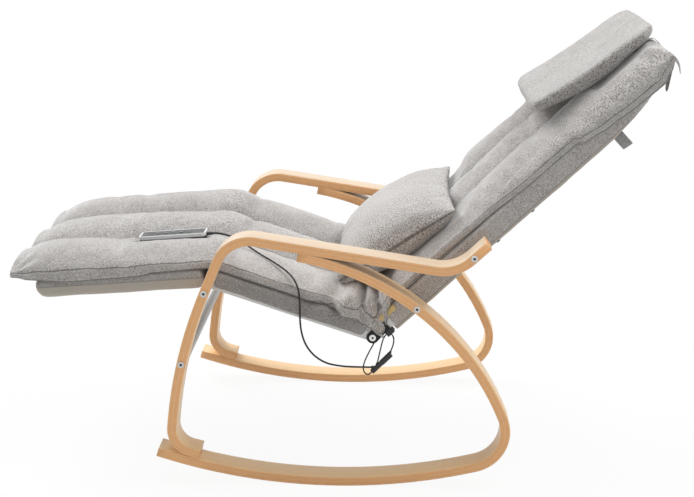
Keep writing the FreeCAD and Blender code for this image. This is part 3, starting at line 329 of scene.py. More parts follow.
zinc_steel = speckled("zinc_steel", (900, 900, 900), 3.0, (0.60, 0.60, 0.59), (0.42, 0.42, 0.42),
                      (0.25, 0.25), (0.1, 0.0002), Metallic=1.0)
# a near-black finish for the inside faces of the hex sockets: painted shade in the recess
socket_painted_shade = speckled("socket_painted_shade", (1200, 1200, 1200), 2.0, (0.030, 0.030, 0.030),
                       (0.075, 0.073, 0.070), (0.3, 0.45), Metallic=0.8)
BOLT_FACE = 0.335
SOCKET_REACH = 0.0034
SOCKET_TOP = 0.0004
SOCKET_FLOOR = 0.003
PIVOT = Vector((-0.274, 0, 0.418))
BOLT_AXES = [PIVOT, Vector((-0.325, 0, 0.265)), Vector((0.1592, 0, 0.3917)), Vector((0.2723, 0, 0.4991))]
bolts = machined("frame_bolt_set", "frame_bolts", 0.0005, "chair", "zinc_steel", zinc_steel, socket_painted_shade)
# the faces inside each hex socket take the near-black finish: painted shade in the recess
for polygon in bolts.data.polygons:
    level = Vector((polygon.center.x, 0, polygon.center.z))
    sunk = BOLT_FACE - abs(polygon.center.y)
    if SOCKET_TOP < sunk < SOCKET_FLOOR and min((level - axis).length for axis in BOLT_AXES) < SOCKET_REACH:
        polygon.material_index = 1
paint(zinc_steel, "foot_lap_screws", "tube_inserts", "bolt_spacers")

# Steel frames: the front stretcher between the legs, and welded square tube frames in the seat, back and
# leg rest, with the eye plates and ratchet drums of the leg rest. Powder coated grey.
HINGE = Vector((0.067793, 0, 0.304963))
grey_tube, tree, shader = new_finish("grey_tube", Metallic=0.35)
spot = object_place(tree)
orange_peel = speckle(tree, spot, 1400.0, 2.0)
dust = speckle(tree, spot, 60.0, 3.0)
feed(tree, shader, blended(tree, dust, (0.62, 0.61, 0.60), (0.54, 0.54, 0.535)),
     maths(tree, "MULTIPLY_ADD", orange_peel, 0.2, 0.32), orange_peel, 0.15, 0.0002)
paint(grey_tube, "front_stretcher", "seat_frame", "back_frame", "legrest_frame")
black_steel, tree, shader = new_finish("black_steel", Metallic=0.6)
scuff = speckle(tree, stretched(tree, object_place(tree), (900.0, 900.0, 300.0)), 1.0, 3.0)
worn = blended(tree, between(tree, scuff, 0.55, 0.8), (0.012, 0.012, 0.013), (0.06, 0.06, 0.06))
feed(tree, shader, worn, maths(tree, "MULTIPLY_ADD", scuff, 0.3, 0.28), scuff, 0.15, 0.0002)
paint(black_steel, "left_legrest_eye", "right_legrest_eye", "left_ratchet_drum", "right_ratchet_drum")
rivet_steel, tree, shader = new_finish("rivet_steel", Metallic=0.9, Roughness=0.3)
aside = add_node(tree, "VectorMath", {0: object_place(tree), 1: HINGE}, operation="SUBTRACT")
aside = stretched(tree, aside.outputs[0], (1, 0, 1))
aside = add_node(tree, "VectorMath", {0: aside}, operation="LENGTH").outputs["Value"]
# the rivet's middle, within 2 mm of the hinge's axis, is painted near-black: painted shade in its hollow
# centre
centre = between(tree, aside, 0.0020, 0.0028)
rivet_painted_hollow = blended(tree, centre, (0.03, 0.03, 0.03), (0.72, 0.72, 0.71))
feed(tree, shader, rivet_painted_hollow, None, centre, 0.5, 0.001)
paint(rivet_steel, "hinge_rivets")
for side_name in SIDES:
    machined(side_name + "_hinge_ear", side_name + "_hinge_plate", 0.0005,
             "chair", "black_steel", black_steel)

# Inside the panels: vibration motor cans and the leg rest's plywood board.
# They are clipped and glued to the frames, and the upholstery closes over them.
motor_can = speckled("motor_can", (300, 2500, 300), 2.0, (0.35, 0.35, 0.34), (0.22, 0.22, 0.22),
                     (0.2, 0.3), (0.1, 0.0002), Metallic=0.8)
paint(motor_can, "seat_motors", "legrest_motors", "back_motors")
plywood = speckled("plywood", (8, 120, 120), 4.0, (0.62, 0.45, 0.27), (0.45, 0.30, 0.16),
                   (0.2, 0.5), (0.2, 0.0004))
paint(plywood, "legrest_board")

# Panels of the seat, leg rest and back: foam on webbing, in sewn covers drawn tight over the steel frames.
# The tops and sides are linen cloth, the undersides a plain beige backing, sewn together on a seam.
SEAT_SLOPE = 18.3
LEGREST_SLOPE = -4.5
BACK_SLOPE = -43.5
seat_at = tilted(PIVOT, SEAT_SLOPE)
legrest_at = tilted(PIVOT, LEGREST_SLOPE)
back_at = tilted(HINGE, BACK_SLOPE)
PANEL_HALF = 0.258
PANEL_RIM = 0.007
PANEL_VOXEL = 0.006

# the weave: threads along and across a cloth's own length, with thick slubs, in metres
weave = bpy.data.node_groups.new("linen_weave", "ShaderNodeTree")
for socket, way, kind in (("Cloth", "INPUT", "Vector"), ("Tone", "OUTPUT", "Float"),
                          ("Relief", "OUTPUT", "Float")):
    weave.interface.new_socket(socket, in_out=way, socket_type="NodeSocket" + kind)
cloth = add_node(weave, "NodeGroupInput").outputs["Cloth"]
tone = maths(weave, "MULTIPLY", speckle(weave, cloth, 16.0, 3.0), 0.08)
# warp, weft and knots: threads to the metre each way, and their share of the tone
for threads, share in (((460, 900, 900), 0.31), ((900, 460, 460), 0.31), ((840, 840, 840), 0.30)):
    layer = speckle(weave, stretched(weave, cloth, threads), detail=1.0)
    tone = maths(weave, "MULTIPLY_ADD", layer, share, tone)
over = axes(weave, stretched(weave, cloth, (4200.0, 4200.0, 4200.0)))
relief = tone
for way in "XYZ":
    relief = maths(weave, "MULTIPLY_ADD", maths(weave, "SINE", over[way]), 0.03, relief)
add_node(weave, "NodeGroupOutput", {"Tone": tone, "Relief": relief})


def linen_on(tree, dark, middle, pale, coarse=1.0):
    """Linen's colour and relief in three tones, and a piece's place on its cloth; coarse widens threads."""
    cloth = add_node(tree, "Attribute", attribute_name="cloth").outputs["Vector"]
    group = add_node(tree, "Group", node_tree=weave)
    tree.links.new(stretched(tree, cloth, (1 / coarse, 1 / coarse, 1 / coarse)), group.inputs["Cloth"])
    tone = group.outputs["Tone"]
    colour = blended(tree, between(tree, tone, 0.41, 0.50), dark, middle)
    colour = blended(tree, between(tree, tone, 0.50, 0.59), colour, pale)
    return colour, group.outputs["Relief"], cloth


LINEN_DARK = (0.212, 0.192, 0.176)
LINEN_MIDDLE = (0.456, 0.434, 0.416)
LINEN_PALE = (0.642, 0.631, 0.621)
BACKING = (0.470, 0.430, 0.375)


def shaded(shade):
    """The linen's three tones, each times a shade."""
    tones = (LINEN_DARK, LINEN_MIDDLE, LINEN_PALE)
    return [tuple(part * shade for part in tone) for tone in tones]


def linen_finish(name, sheen, shade, coarse=1.0, nap=0.45):
    """A linen material, its node tree and shader, and the linen's colour, relief and place on the cloth."""
    finish, tree, shader = new_finish(name, Roughness=0.95, Sheen_Weight=sheen, Sheen_Roughness=nap)
    return finish, tree, shader, *linen_on(tree, *shaded(shade), coarse)


def sewn_line(tree, value, mark, inner, outer):
    """1 where a value is at a seam's mark, falling to 0 between two distances from it."""
    away = maths(tree, "ABSOLUTE", maths(tree, "SUBTRACT", value, mark))
    return maths(tree, "SUBTRACT", 1.0, between(tree, away, inner, outer))


def panel_finish(name, seam, shade=1.0):
    """Linen above a seam line across the panel's side, plain backing below it."""
    finish, tree, shader, colour, relief, cloth = linen_finish(name, 0.4, shade)
    out = axes(tree, cloth)["Z"]
    fine = speckle(tree, stretched(tree, cloth, (1500.0, 1500.0, 1500.0)), 1.0, 1.0)
    backing = blended(tree, fine, BACKING, (0.39, 0.355, 0.31), 0.5)
    colour = blended(tree, between(tree, out, seam - 0.0008, seam + 0.0008), backing, colour)
    stitch = sewn_line(tree, out, seam, 0.0004, 0.0022)
    colour = blended(tree, stitch, colour, (0.20, 0.185, 0.17), 0.55)
    feed(tree, shader, colour, None, relief, 0.55, 0.0012)
    return finish


def final_mesh(piece):
    """The mesh that a piece shows, with its modifiers or its curve's thickness applied."""
    return bpy.data.meshes.new_from_object(piece.evaluated_get(bpy.context.evaluated_depsgraph_get()))


def settled(piece):
    """Apply a piece's modifiers to its mesh."""
    mesh = final_mesh(piece)
    piece.modifiers.clear()
    old = piece.data
    piece.data = mesh
    mesh.name = piece.name
    bpy.data.meshes.remove(old)
    mesh.shade_smooth()


def refined(piece, levels):
    """Subdivide a piece's mesh smoothly."""
    adjusted(piece.modifiers.new("smooth", "SUBSURF"), levels=levels, render_levels=levels)
    settled(piece)


def cloth_lengths(piece, lengths):
    """Keep each point's place on the cloth: along it, across it and out of it."""
    layer = piece.data.attributes.new("cloth", "FLOAT_VECTOR", "POINT")
    layer.data.foreach_set("vector", [part for length in lengths for part in length])


def eased(value, low, high):
    """A smooth step from 0 at low to 1 at high."""
    share = max(0.0, min(1.0, (value - low) / (high - low)))
    return share * share * (3 - 2 * share)


def upholstered(name, place, body, nodes, corners, finish, puff, half=PANEL_HALF, edge=PANEL_RIM, tuck=0.0,
                slot="panel_linen"):
    """A foam-filled piece from its side outline of x, z and roundings, its end corners drawn in by tuck."""
    bm = bmesh.new()
    outline = [bm.verts.new((x, -half, z)) for x, z, rounding in corners]
    bm.faces.new(outline)
    for vert, (x, z, rounding) in zip(outline, corners):
        if rounding:
            rounded(bm, [vert], rounding, 5, "VERTICES")
    made = bmesh.ops.extrude_face_region(bm, geom=bm.faces[:])["geom"]
    bmesh.ops.translate(bm, verts=of_kind(made, bmesh.types.BMVert), vec=(0, 2 * half, 0))
    rim = [edge for edge in bm.edges if abs(edge.verts[0].co.y - edge.verts[1].co.y) < 1e-6]
    rounded(bm, rim, edge, 3)
    bmesh.ops.recalc_face_normals(bm, faces=bm.faces[:])
    piece = new_piece(name, bm, finish)
    adjusted(piece.modifiers.new("remesh", "REMESH"), mode="VOXEL", voxel_size=PANEL_VOXEL)
    adjusted(piece.modifiers.new("soften", "SMOOTH"), iterations=6, factor=0.5)
    settled(piece)
    points = [vert.co.copy() for vert in piece.data.vertices]
    normals = [vert.normal.copy() for vert in piece.data.vertices]
    cloth_lengths(piece, points)
    for vert, point, normal in zip(piece.data.vertices, points, normals):
        slack = noise.noise(Vector((point.x * 9, point.y * 7, point.z * 12)) + Vector((3, 1, 7)))
        ripple = noise.noise(Vector((point.x * 38, point.y * 30, point.z * 20)))
        vert.co = point + normal * (puff * slack + 0.0006 * ripple)
        if tuck:
            share = eased(abs(point.y), half - 3 * tuck, half) ** 2
            vert.co.x += tuck * share * (0.4 - 0.4 * eased(point.x, 0.0, 0.12) - eased(point.x, 0.16, 0.28))
    piece.data.transform(place)
    belongs(piece, body, slot, *nodes)


# The seat's and leg rest's linen is darkened (0.72 and 0.80 of its tones) against the back's: painted shade
# under the cushion's overhang.
upholstered("seat_panel", seat_at, "chair", ("seat_cover", "seat_foam", "seat_webbing"), [
    (0.004, -0.0113, 0.010), (0.347, -0.0113, 0.014), (0.347, 0.0287, 0.008), (0.004, 0.0287, 0.012)],
    panel_finish("seat_cover_cloth_painted_shade", -0.0160, 0.72), 0.0012)
upholstered("legrest_panel", legrest_at, "legrest", ("legrest_cover", "legrest_foam"), [
    (-0.369, -0.0113, 0.024), (-0.0125, -0.0113, 0.006), (-0.0125, 0.0287, 0.004), (-0.369, 0.0287, 0.009)],
    panel_finish("legrest_cover_cloth_painted_shade", 0.0135, 0.80), 0.0015)
upholstered("back_panel", back_at, "chair", ("back_cover", "back_webbing", "back_rear_wadding"), [
    (0.047, -0.025, 0), (0.685, -0.025, 0.060), (0.792, 0.000, 0.010), (0.797, 0.025, 0.008),
    (0.047, 0.025, 0)], panel_finish("back_cover_cloth", -0.0165), 0.0012)

# Foam of the back: a board of yellow upholstery foam, cut square, that shows at the open lower end
# of the back's cover beside the hinge.
foam_yellow, tree, shader = new_finish("foam_yellow", Roughness=1.0)
spot = object_place(tree)
cells = add_node(tree, "TexVoronoi", {"Vector": spot, "Scale": 700.0}).outputs["Distance"]
stain = speckle(tree, spot, 70.0, 3.0)
foam_tone = blended(tree, stain, (0.78, 0.62, 0.30), (0.66, 0.50, 0.22))
foam_tone = blended(tree, cells, foam_tone, (0.45, 0.33, 0.12), 0.5)
feed(tree, shader, foam_tone, None, cells, 0.6, 0.001)
FOAM_LOW = Vector((0.032, -0.2580, 0.0113))
FOAM_HIGH = Vector((0.080, 0.2580, 0.0232))
FOAM_RAGGED = 0.0016
FOAM_EASE = 0.002
bm = bmesh.new()
bmesh.ops.create_cube(bm, size=1.0)
bmesh.ops.scale(bm, vec=FOAM_HIGH - FOAM_LOW, verts=bm.verts)
bmesh.ops.translate(bm, vec=(FOAM_HIGH + FOAM_LOW) / 2, verts=bm.verts)
rounded(bm, bm.edges[:], FOAM_EASE, 2)
across_edges = [edge for edge in bm.edges if edge.calc_length() > FOAM_HIGH.y]
bmesh.ops.subdivide_edges(bm, edges=across_edges, cuts=60)
for vert in bm.verts:
    vert.co.x += FOAM_RAGGED * noise.noise(vert.co * 55)
bmesh.ops.transform(bm, matrix=back_at, verts=bm.verts)
foam_end = new_piece("back_foam_end", bm, foam_yellow)
belongs(foam_end, "chair", "foam", "back_foam")

# Long cushion: one loose pad from the toe of the leg rest, over the seat and up the back. Linen over fibre
# fill, quilted into three lobes by two sewn channels, with a boxing strip between two seams round its edge.
CHANNEL = 0.0833
BOXING = 0.020
LOWER_SEAM = 0.002
SEAM_REACH = 0.2475
CHANNEL_HEIGHT = 0.024
STATION = 0.0098
TOE_LENGTH = 0.412
TOE_SPARE = 0.008
FRONT_RISE = 0.029
FRONT_TURN = math.radians(SEAT_SLOPE - LEGREST_SLOPE)
SEAT_RUN = 0.281
FOLD_RADIUS = 0.110
FOLD_TURN = math.radians(SEAT_SLOPE - BACK_SLOPE)
BACK_RISE = 0.0253
BACK_FROM = 0.0852
BACK_TO = 0.832
FILL_FRAMES = 20
CLOSE = 1e-4
SEAM_BAND = 0.001
front_end = TOE_LENGTH + FRONT_RISE * FRONT_TURN
fold_start = front_end + SEAT_RUN
fold_end = fold_start + FOLD_RADIUS * FOLD_TURN
cushion_end = fold_end + BACK_TO - BACK_FROM
fold_centre = seat_at @ Vector((SEAT_RUN, 0, FRONT_RISE + FOLD_RADIUS))


def on_chair(along, across, out):
    """The place on the chair of a point of the cushion, from its place on the cushion laid flat."""
    if along < TOE_LENGTH:
        return legrest_at @ Vector((along - TOE_LENGTH, across, FRONT_RISE + out))
    if along < front_end:
        turned = Matrix.Rotation((along - TOE_LENGTH) / FRONT_RISE, 4, "Y")
        arm = legrest_at.to_3x3() @ (turned @ Vector((0, 0, FRONT_RISE + out)))
        return PIVOT + arm + Vector((0, across, 0))
    if along < fold_start:
        return seat_at @ Vector((along - front_end, across, FRONT_RISE + out))
    if along < fold_end:
        turned = Matrix.Rotation(-(along - fold_start) / FOLD_RADIUS, 4, "Y")
        arm = seat_at.to_3x3() @ (turned @ Vector((0, 0, out - FOLD_RADIUS)))
        return fold_centre + arm + Vector((0, across, 0))
    return back_at @ Vector((BACK_FROM + along - fold_end, across, BACK_RISE + out))


def inflated(piece, sewn, pressure, spare, cap):
    """Fill a sewn piece: a cloth held at its seams, with spare cloth, blown up and then applied."""
    rest = [vert.co.copy() for vert in piece.data.vertices]
    held = piece.vertex_groups.new(name="sewn")
    held.add(sewn, 1.0, "REPLACE")
    cloth = piece.modifiers.new("fill", "CLOTH")
    adjusted(cloth.settings, quality=6, mass=0.02, tension_stiffness=12, compression_stiffness=12,
             shear_stiffness=4, bending_stiffness=0.4, vertex_group_mass="sewn", shrink_min=-spare,
             use_pressure=True, uniform_pressure_force=pressure)
    cloth.settings.effector_weights.gravity = 0
    cloth.collision_settings.use_collision = False
    adjusted(cloth.point_cache, frame_start=1, frame_end=FILL_FRAMES)
    for step in range(FILL_FRAMES):
        bpy.context.scene.frame_set(step + 1)
    settled(piece)
    bpy.context.scene.frame_set(1)
    for vert, point in zip(piece.data.vertices, rest):
        moved = vert.co - point
        if moved.length > cap:
            vert.co = point + moved * (cap / moved.length)
    piece.vertex_groups.clear()


# one section of the cushion laid flat, drawn out along its length
bm = bmesh.new()
on_cloth = bm.verts.layers.float_vector.new("cloth")
half_section = [
    (0.2400, 0.0000), (0.2490, 0.0000), (0.2505, 0.0030), (0.2510, 0.0100), (0.2500, 0.0170),
    (SEAM_REACH, BOXING), (0.2468, 0.0235), (0.2400, 0.0280), (0.0905, 0.0340), (CHANNEL, CHANNEL_HEIGHT),
    (0.0760, 0.0340),
]
lower = [(0.0760, 0.0), (CHANNEL, 0.0), (0.0905, 0.0)]
section = lower + half_section
section = section + [(-across, out) for across, out in reversed(section)]
ring = [bm.verts.new((-TOE_SPARE, across, out)) for across, out in section]
sides = [bm.edges.new(pair) for pair in zip(ring, ring[1:] + ring[:1])]
bmesh.ops.subdivide_edges(bm, edges=[edge for edge in sides if edge.calc_length() > 0.1], cuts=13)
rim = bm.edges[:]
cushion_length = cushion_end + TOE_SPARE
stations = round(cushion_length / STATION)
for step in range(stations):
    rim = extruded(bm, rim, (cushion_length / stations, 0, 0))[1]
for end in (-TOE_SPARE, cushion_end):
    edges = [edge for edge in bm.edges if all(abs(vert.co.x - end) < CLOSE for vert in edge.verts)]
    caps = bmesh.ops.holes_fill(bm, edges=edges, sides=0)["faces"]
    bmesh.ops.triangulate(bm, faces=caps)
bmesh.ops.recalc_face_normals(bm, faces=bm.faces[:])

# how far the near, middle and far lobes rise over their channels, from place to place along the cushion
LOBES = [
    (0.000, 0.033, 0.036, 0.041), (0.120, 0.033, 0.037, 0.049), (0.230, 0.025, 0.037, 0.051),
    (0.400, 0.021, 0.031, 0.050), (0.470, 0.013, 0.028, 0.046), (0.620, 0.014, 0.028, 0.047),
    (0.700, 0.021, 0.026, 0.048), (fold_end + 0.100, 0.024, 0.022, 0.034), (cushion_end, 0.024, 0.022, 0.032),
]
LOBE_FULLNESS = 0.62
TOP_CLOTH = 0.0225
MID_HEIGHT = 0.012
BACK_THINNING = 0.30
TOE_ROUND = 0.085
TOE_LEAST = 0.62
TOP_ROUND = 0.032
TOP_LEAST = 0.42


def drawn(table, along):
    """The values of a table at a place along the cushion, eased from each row to the next."""
    for before, after in zip(table, table[1:]):
        if before[0] <= along < after[0]:
            share = eased(along, before[0], after[0])
            return [low + (high - low) * share for low, high in zip(before[1:], after[1:])]
    return table[0 if along < table[0][0] else -1][1:]


def taper(along):
    """Share of the full height near the two ends, where the top and bottom cloths meet in a seam."""
    toe = max(0.0, min(1.0, (along + TOE_SPARE) / TOE_ROUND))
    top = max(0.0, min(1.0, (cushion_end - along) / TOP_ROUND))
    return max(TOE_LEAST, math.sqrt(1 - (1 - toe) ** 2)) * max(TOP_LEAST, math.sqrt(1 - (1 - top) ** 2))


sewn = []
bm.verts.index_update()
for vert in bm.verts:
    along, across, out = vert.co
    vert[on_cloth] = vert.co
    reach = abs(across)
    thin = 1 - BACK_THINNING * eased(along, fold_end - 0.05, fold_end + 0.10)
    boxing = out < BOXING + CLOSE and reach > SEAM_REACH - CLOSE
    channel = abs(reach - CHANNEL) < CLOSE
    at_end = along < SEAM_BAND - TOE_SPARE or along > cushion_end - SEAM_BAND
    if out < SEAM_BAND or boxing or channel or at_end:
        sewn.append(vert.index)
    near_rise, middle_rise, far_rise = drawn(LOBES, along)
    if out > TOP_CLOTH and reach > CHANNEL:
        share = min(1.0, (reach - CHANNEL) / (SEAM_REACH - CHANNEL))
        out = CHANNEL_HEIGHT + (BOXING * thin - CHANNEL_HEIGHT) * share
        out += (near_rise if across < 0 else far_rise) * max(0.0, 4 * share * (1 - share)) ** LOBE_FULLNESS
    elif out > TOP_CLOTH:
        out = CHANNEL_HEIGHT + middle_rise * max(0.0, 1 - (reach / CHANNEL) ** 2) ** 0.5
    else:
        out *= thin
    vert.co.z = MID_HEIGHT + (out - MID_HEIGHT) * taper(along)
# dark lines along the two side seams and the sewn channels: thread, and partly painted shade for the grooves
# of the seams, the channel creases and the gap under the cushion's lower seam
SEAM_LINE_DARK = (0.12, 0.11, 0.10)
cushion_linen, tree, shader, colour, relief, cloth = linen_finish("cushion_linen", 1.0, 0.97, nap=0.4)
spread = axes(tree, cloth)
reach = maths(tree, "ABSOLUTE", spread["Y"])
seam_and_gap_shade_lines = [sewn_line(tree, spread["Z"], mark, 0.0005, 0.0020) for mark in (BOXING, LOWER_SEAM)]
at_side = between(tree, reach, 0.2440, 0.2455)
seam = maths(tree, "MULTIPLY", maths(tree, "MAXIMUM", *seam_and_gap_shade_lines), at_side)
stitch_and_crease_shade = maths(tree, "MAXIMUM", seam, sewn_line(tree, reach, CHANNEL, 0.0004, 0.0022))
colour = blended(tree, stitch_and_crease_shade, colour, SEAM_LINE_DARK, 0.75)
feed(tree, shader, colour, None, maths(tree, "SUBTRACT", relief, stitch_and_crease_shade), 0.4, 0.0010)
long_cushion = new_piece("long_cushion", bm, cushion_linen)
inflated(long_cushion, sewn, 4.0, 0.012, 0.010)
refined(long_cushion, 1)

# what lies on the cushion presses it down: each pad is a middle, half sizes, the height left under it and
# how far its dent reaches; the cord's line has a height at each point
HELD_DOWN = [
    (0.3245, -0.129, 0.077, 0.033, 0.0370, 0.024),
    (fold_end + 0.090, 0.0, 0.120, 0.120, 0.0495, 0.120),
    (fold_end + 0.090, -0.175, 0.120, 0.045, 0.0330, 0.120),
    (fold_end + 0.090, 0.175, 0.120, 0.045, 0.0330, 0.120),
    (fold_end + 0.680, 0.0, 0.075, 0.200, 0.0355, 0.060),
]
PAD_RISE = 0.040
SHOULDER = 0.004
CORD_DENT = 0.045
CORD_RISE = 0.036
CORD_BED = [(0.412, -0.130, 0.0470), (0.470, -0.138, 0.0420), (0.500, -0.160, 0.0400),
            (0.530, -0.180, 0.0385), (0.560, -0.200, 0.0365), (0.585, -0.222, 0.0320),
            (0.608, -0.242, 0.0240)]
# how far the cushion's edge leaves its bed: it sags over the leg rest, bunches up and hangs in an ear
# at the fold, and slides down over the back's side towards the top, with a step where the strip is joined
EDGE_LINE = [(-0.008, 0.003), (0.030, -0.002), (0.120, -0.008), (0.260, -0.007), (0.300, -0.002),
             (0.420, 0.0), (0.620, 0.0), (0.656, 0.005), (0.683, 0.010), (0.694, 0.002), (0.709, -0.007),
             (0.744, -0.009), (0.757, -0.026), (0.774, -0.047), (0.790, -0.026), (0.806, -0.003),
             (0.826, 0.007), (0.870, 0.004), (0.960, 0.004), (1.087, 0.0), (1.204, -0.005), (1.322, -0.006),
             (1.331, -0.014), (1.389, -0.023), (1.459, -0.029), (1.521, -0.031), (1.546, -0.022),
             (1.575, -0.012)]
# how far the edge buckles sideways at the fold, where it is too long for the bend
BUNCH = [(0.590, 0.0), (0.640, 0.005), (0.670, -0.007), (0.700, 0.015), (0.722, 0.012), (0.742, -0.016),
         (0.763, 0.017), (0.782, -0.014), (0.804, 0.015), (0.828, -0.006), (0.852, 0.006), (0.890, 0.0)]
PUCKER = 0.0026
DRAPE = 0.0035
PLEAT = 0.0030
PLEAT_REACH = 0.085
WIDEST = 0.2715


def pressed(out, limit):
    """A height held down to a limit, with a rounded shoulder."""
    start = limit - SHOULDER
    if out < start:
        return out
    return start + SHOULDER * (1 - math.exp((start - out) / SHOULDER))


def cord_limit(along, across):
    """The height that the cord's line leaves to the cushion near it."""
    best = 1.0
    spot = Vector((along, across))
    for first, second in zip(CORD_BED, CORD_BED[1:]):
        start, end = Vector(first[:2]), Vector(second[:2])
        share = max(0.0, min(1.0, (spot - start).dot(end - start) / (end - start).length_squared))
        gap = (spot - start.lerp(end, share)).length
        if gap < CORD_DENT:
            height = first[2] + (second[2] - first[2]) * share
            best = min(best, height + CORD_RISE * eased(gap, 0.006, CORD_DENT))
    return best


def lying(along, across, out):
    """A point of the filled cushion, pressed, creased and crumpled by the way it lies on the chair."""
    reach = abs(across)
    side = 1.0 if across > 0 else -1.0
    if out > 0.015:
        pucker = math.exp(-abs(reach - CHANNEL) / 0.022) + 0.6 * math.exp(-abs(reach - SEAM_REACH) / 0.016)
        out += PUCKER * pucker * noise.noise(Vector((along * 46, side * 9, reach * 10)))
        out += DRAPE * noise.noise(Vector((along * 7, across * 14, 2.0)))
        for corner, fan in ((-TOE_SPARE, 11.0), (cushion_end, 9.0)):
            away = Vector((abs(along - corner), max(0.0, SEAM_REACH - reach)))
            if away.length < PLEAT_REACH:
                pleat = math.sin(fan * math.atan2(away.y, away.x + 0.004)) * eased(away.length, 0.004, 0.020)
                out += PLEAT * pleat * (1 - eased(away.length, 0.030, PLEAT_REACH))
        for middle_along, middle_across, half_along, half_across, height, shoulder in HELD_DOWN:
            gap = Vector((max(0.0, abs(along - middle_along) - half_along),
                          max(0.0, abs(across - middle_across) - half_across))).length
            if gap < shoulder:
                out = pressed(out, height + PAD_RISE * eased(gap, 0.002, shoulder))
        if 0.37 < along < 0.66 and across < -0.08:
            out = pressed(out, cord_limit(along, across))
    bunch = drawn(BUNCH, along)[0]
    if bunch:
        lean = drawn(BUNCH, along - 0.35 * out)[0]
        ruck = noise.noise(Vector((along * 40, side * 7.0 + 3, out * 26)))
        by_edge = eased(reach, 0.130, 0.215) * (1 - eased(reach, 0.236, 0.246))
        out += 0.6 * lean * by_edge * eased(out, MID_HEIGHT, 0.030)
        reach += eased(reach, 0.200, 0.246) * (lean + 0.003 * ruck)
    if out < MID_HEIGHT and reach < 0.238:
        in_fold = eased(along, 0.722, 0.760) * (1 - eased(along, 0.768, 0.806))
        out -= 0.014 * in_fold * (1 - eased(out, 0.0, MID_HEIGHT))
    offset = drawn(EDGE_LINE, along)[0]
    on_back = eased(along, fold_end + 0.05, fold_end + 0.15)
    low = 1 - eased(out, 0.004 + 0.008 * on_back, 0.034 + 0.011 * on_back)
    clear = max(0.0, min(1.0, -offset / 0.010)) * max(0.0, 0.2625 - reach)
    reach += low * eased(reach, 0.226, 0.2395) * clear
    out += offset * low * eased(reach, 0.2405, 0.2485)
    return along, side * min(reach, WIDEST), out


for vert in long_cushion.data.vertices:
    vert.co = on_chair(*lying(*vert.co))
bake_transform(long_cushion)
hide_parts("legrest_cushion", "seat_cushion", "back_cushion")

# Lumbar pillow: a loose filled pillow with a plain seam round its edge and pointed corners.
# It leans on the back cushion, pressed flat there, and its sides pull in between the corners.
LUMBAR_HALF_WIDTH = 0.226
LUMBAR_HALF_LENGTH = 0.150
LUMBAR_FRONT = 0.086
LUMBAR_REAR = 0.070
LUMBAR_REST = 0.0782
TOP_PULL = 0.060
LOW_PULL = 0.030
SIDE_PULL = 0.055
CORNER_PULL = 0.13
REAR_PLUMP = 0.32
FRONT_PLUMP = 0.42
WRINKLE = 0.0030
CRINKLE = 0.0016
lumbar_at = back_at @ tilted((0.162, 0, 0.1015), 9.35)
bm = bmesh.new()
on_cloth = bm.verts.layers.float_vector.new("cloth")
bmesh.ops.create_grid(bm, x_segments=34, y_segments=52, size=1.0)
rear = bmesh.ops.duplicate(bm, geom=bm.verts[:] + bm.edges[:] + bm.faces[:])["geom"]
rear_verts = set(of_kind(rear, bmesh.types.BMVert))
bmesh.ops.reverse_faces(bm, faces=of_kind(rear, bmesh.types.BMFace))
for vert in bm.verts:
    u, v = vert.co.x, vert.co.y
    level = max(0.0, 1 - u * u) * max(0.0, 1 - v * v)
    pull = 1 - (TOP_PULL if u > 0 else LOW_PULL) * (1 - v * v) * abs(u)
    draw = 1 - SIDE_PULL * (1 - u * u) * abs(v) - CORNER_PULL * max(0.0, -u) ** 3 * abs(v)
    plump = level ** (REAR_PLUMP if vert in rear_verts else FRONT_PLUMP - 0.10 * min(0.0, u) ** 2)
    out = -LUMBAR_REAR if vert in rear_verts else LUMBAR_FRONT
    vert[on_cloth] = (u * LUMBAR_HALF_LENGTH, v * LUMBAR_HALF_WIDTH, 0)
    vert.co = (u * LUMBAR_HALF_LENGTH * pull, v * LUMBAR_HALF_WIDTH * draw, out * plump)
bmesh.ops.remove_doubles(bm, verts=bm.verts[:], dist=0.0001)
bmesh.ops.recalc_face_normals(bm, faces=bm.faces[:])
bm.verts.index_update()
sewn = [vert.index for vert in bm.verts if abs(vert.co.z) < 1e-5]
lumbar_linen, tree, shader, colour, relief, cloth = linen_finish("lumbar_linen", 0.5, 1.0, coarse=1.9)
spread = axes(tree, stretched(tree, cloth, (1 / LUMBAR_HALF_LENGTH, 1 / LUMBAR_HALF_WIDTH, 1)))
shares = [maths(tree, "ABSOLUTE", spread[way]) for way in ("X", "Y")]
seam = between(tree, maths(tree, "MAXIMUM", *shares), 0.9885, 0.9965)
colour = blended(tree, seam, colour, SEAM_LINE_DARK, 0.75)
feed(tree, shader, colour, None, maths(tree, "SUBTRACT", relief, seam), 0.4, 0.0010)
lumbar_pillow = new_piece("lumbar_cushion", bm, lumbar_linen)
inflated(lumbar_pillow, sewn, 5.0, 0.02, 0.012)
refined(lumbar_pillow, 1)
normals = [vert.normal.copy() for vert in lumbar_pillow.data.vertices]
for vert, normal in zip(lumbar_pillow.data.vertices, normals):
    rim_share = max(abs(vert.co.x) / LUMBAR_HALF_LENGTH, abs(vert.co.y) / LUMBAR_HALF_WIDTH)
    slack = WRINKLE * noise.noise(vert.co * 22) + CRINKLE * noise.noise(vert.co * 55)
    vert.co += normal * slack * eased(rim_share, 0.30, 0.85) * (1 - eased(rim_share, 0.93, 1.0))
    point = back_at.inverted() @ (lumbar_at @ vert.co)
    rest = LUMBAR_REST - 0.0165 * eased(abs(point.y), 0.105, 0.150)
    point.z = max(point.z, rest + 0.04 * min(0.0, point.z - rest))
    vert.co = back_at @ point
belongs(lumbar_pillow, "lumbar", "cushion_linen", "lumbar_pillow")

